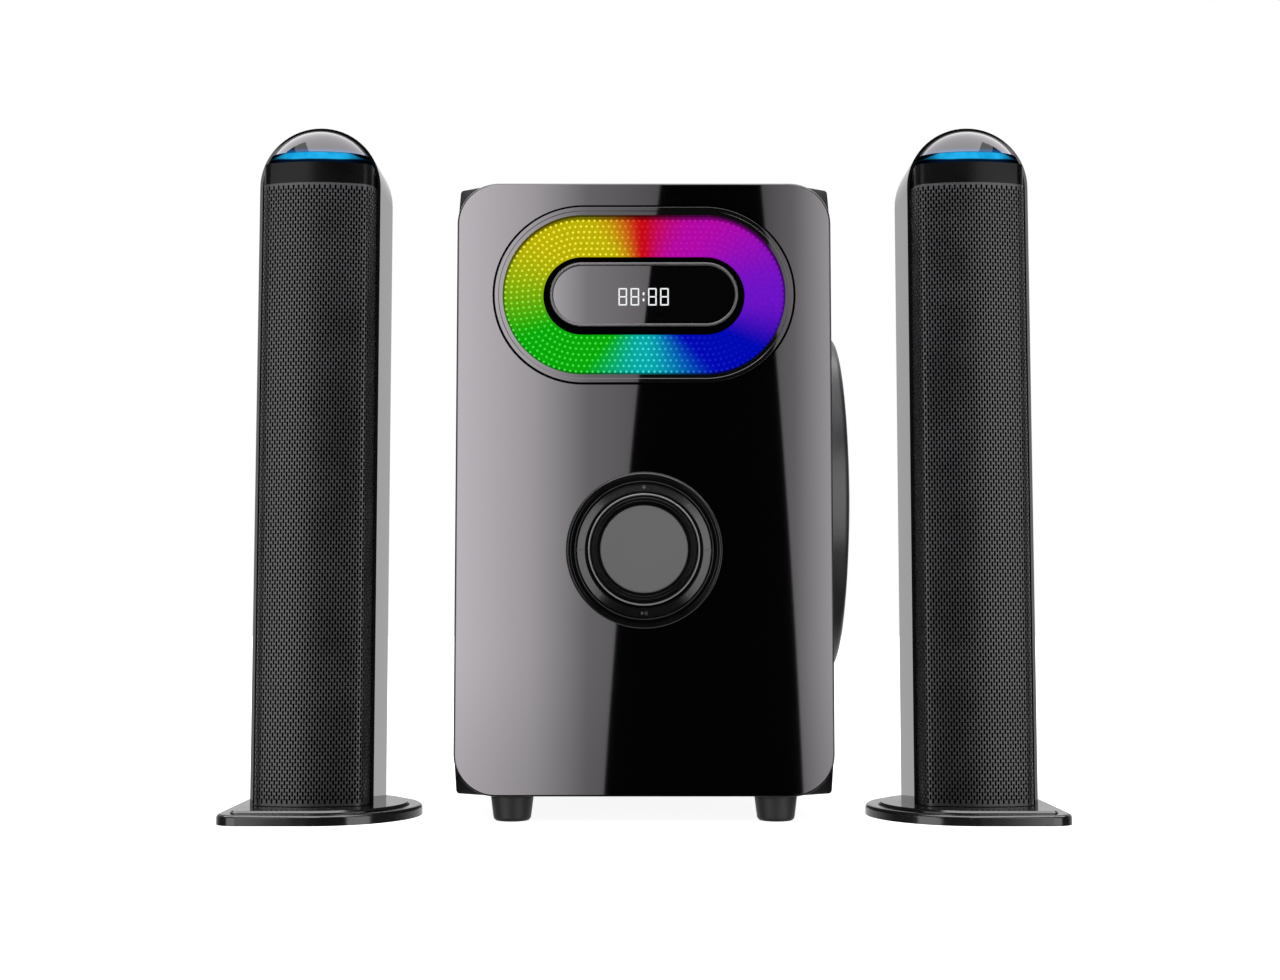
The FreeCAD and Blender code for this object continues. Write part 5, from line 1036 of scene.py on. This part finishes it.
def make_card():
    """A studio card in front of the set, seen only in reflections: light left, dark middle, grey
    right, with slanting edges. It is drawn to the panel's own scale and then enlarged, so that
    each place on it meets the same place on the panel in the viewer's eye."""
    shader = Shader("card")
    across, _, up = shader.split(shader.place())
    square = shader.math("MULTIPLY", up, up)

    def beyond(edge, share_before, share_after):
        place, lean, bend = edge
        slant = shader.math("ADD", shader.math("MULTIPLY", up, lean), shader.math("MULTIPLY", square, bend))
        offset = shader.math("SUBTRACT", across, shader.math("ADD", slant, place))
        return shader.between(offset, -EDGE_BLUR, EDGE_BLUR, share_before, share_after)

    def light(stops):
        width = 2 * CARD_HALF_WIDTH
        share = shader.math("DIVIDE", shader.math("ADD", across, CARD_HALF_WIDTH), width)
        scale = 1 / (MIRROR_SHARE * CARD_PEAK)
        colours = [((x + CARD_HALF_WIDTH) / width,
                    tuple(c * scale for c in srgb(level, level * 0.975, level)[:3]) + (1.0,))
                   for x, level in stops]
        return shader.ramp(share, colours)

    lit = shader.blend(beyond(LEFT_EDGE, 1.0, 0.0), srgb(0), light(CARD_LEFT))
    lit = shader.blend(beyond(RIGHT_EDGE, 0.0, 1.0), lit, light(CARD_RIGHT))
    fall = shader.between(up, 0.0, 0.10, 0.78, 1.0)
    material = shader.glow(lit, shader.math("MULTIPLY", fall, CARD_PEAK))
    corners = [(side * CARD_HALF_WIDTH, 0, level) for side, level in
               ((-1, CARD_LOW), (1, CARD_LOW), (1, CARD_HIGH), (-1, CARD_HIGH))]
    card = reflected_card("card", corners, material)
    eye = bpy.context.scene.camera.location
    share = CARD_DISTANCE / (PANEL_FRONT - eye.y)
    card.scale = (1 + share, 1, 1 + share)
    card.location = (-eye.x * share, PANEL_FRONT - CARD_DISTANCE, -eye.z * share)
    return card


def reflected_card(name, corners, material):
    """A sheet of light that only shows in reflections."""
    material.cycles.emission_sampling = "NONE"
    card = stage_mesh(name, corners, [tuple(range(len(corners)))], material)
    card.visible_camera = False
    card.visible_diffuse = False
    card.visible_transmission = False
    card.visible_shadow = False
    return card


def keep_card_to_panel(card):
    """The card lights the subwoofer's front only, and is lost on the towers and the knob."""
    lit = bpy.data.collections.new("card_receivers")
    for name in CARD_RECEIVERS:
        lit.objects.link(bpy.data.objects[name])
    card.light_linking.receiver_collection = lit


OVERHEAD_HALF = ((0.45, -1.15), (0.45, -0.29), (1.3, -0.29), (1.3, 0.3))  # its right half, from above
OVERHEAD_LEVEL = 1.0
SIDE_NEAR, SIDE_FAR = (0.42, -1.1), (1.1, -0.75)  # a side box's upright edges, from above
SIDE_LOW, SIDE_HIGH = -0.3, 0.7


def make_softboxes():
    """An overhead box for the domes, with two corners cut off, and a side box for each tower."""
    glow = Shader("overhead_box").glow(srgb(255, 252, 255), 6.5)
    outline = [*OVERHEAD_HALF, *((-x, y) for x, y in reversed(OVERHEAD_HALF))]
    reflected_card("overhead_box", [(x, y, OVERHEAD_LEVEL) for x, y in outline], glow)
    for side in (-1, 1):
        glow = Shader("side_box").glow(srgb(255), 3.2)
        corners = [(side * x, y, z) for (x, y), z in ((SIDE_NEAR, SIDE_LOW), (SIDE_FAR, SIDE_LOW),
                                                      (SIDE_FAR, SIDE_HIGH), (SIDE_NEAR, SIDE_HIGH))]
        reflected_card("side_box", corners, glow)


def area_light(name, place, target, width, height, power):
    data = bpy.data.lights.new(name, "AREA")
    data.shape = "RECTANGLE"
    data.size, data.size_y = width, height
    data.energy = power
    lamp = bpy.data.objects.new(name, data)
    lamp.location = place
    lamp.rotation_euler = (Vector(target) - Vector(place)).to_track_quat("-Z", "Y").to_euler()
    bpy.context.scene.collection.objects.link(lamp)


def make_studio():
    """White all round; reflections meet it behind the set only, and a dark booth in front."""
    shader = Shader("studio", world=True)
    toward = shader.split(shader.add("TexCoord", {}).outputs["Generated"])
    booth = shader.between(toward[1], 0.0, 0.8, 0.04, 0.8)
    glossy = shader.add("LightPath", {}).outputs["Is Glossy Ray"]
    strength = shader.between(glossy, 0.0, 1.0, 1.0, booth)
    light = shader.add("Background", {"Color": srgb(255), "Strength": strength})
    shader.add("OutputWorld", {"Surface": light.outputs[0]})
    bpy.context.scene.world = shader.material
    area_light("overhead", (0, -0.3, 1.3), (0, -0.05, 0.2), 1.6, 1.2, 12)
    bpy.context.scene.view_settings.view_transform = "Standard"


# -------------------- assembly

make_camera()
make_floor()
card = make_card()
make_softboxes()
make_studio()
for side in SIDES:
    make_tower_grille(side)
make_woofer_grille()
make_trim()
make_pod()
make_ring_dots()
make_digits()
make_bezel()
make_keys()
# painted highlight lines on the keys' outer lip and on the bezel's rim
make_highlight_line("key_edge_highlight", KEY_OUTER - 0.3 * MM, 0.1 * MM, "key_ring", "key_satin")
make_highlight_line("bezel_edge", BEZEL_OUTER - 0.1 * MM, BEZEL_PROUD - 0.6 * MM, "root", "bezel_gloss")
make_icons()
make_knob()
make_screws()
make_sockets()
make_feet()
keep_card_to_panel(card)
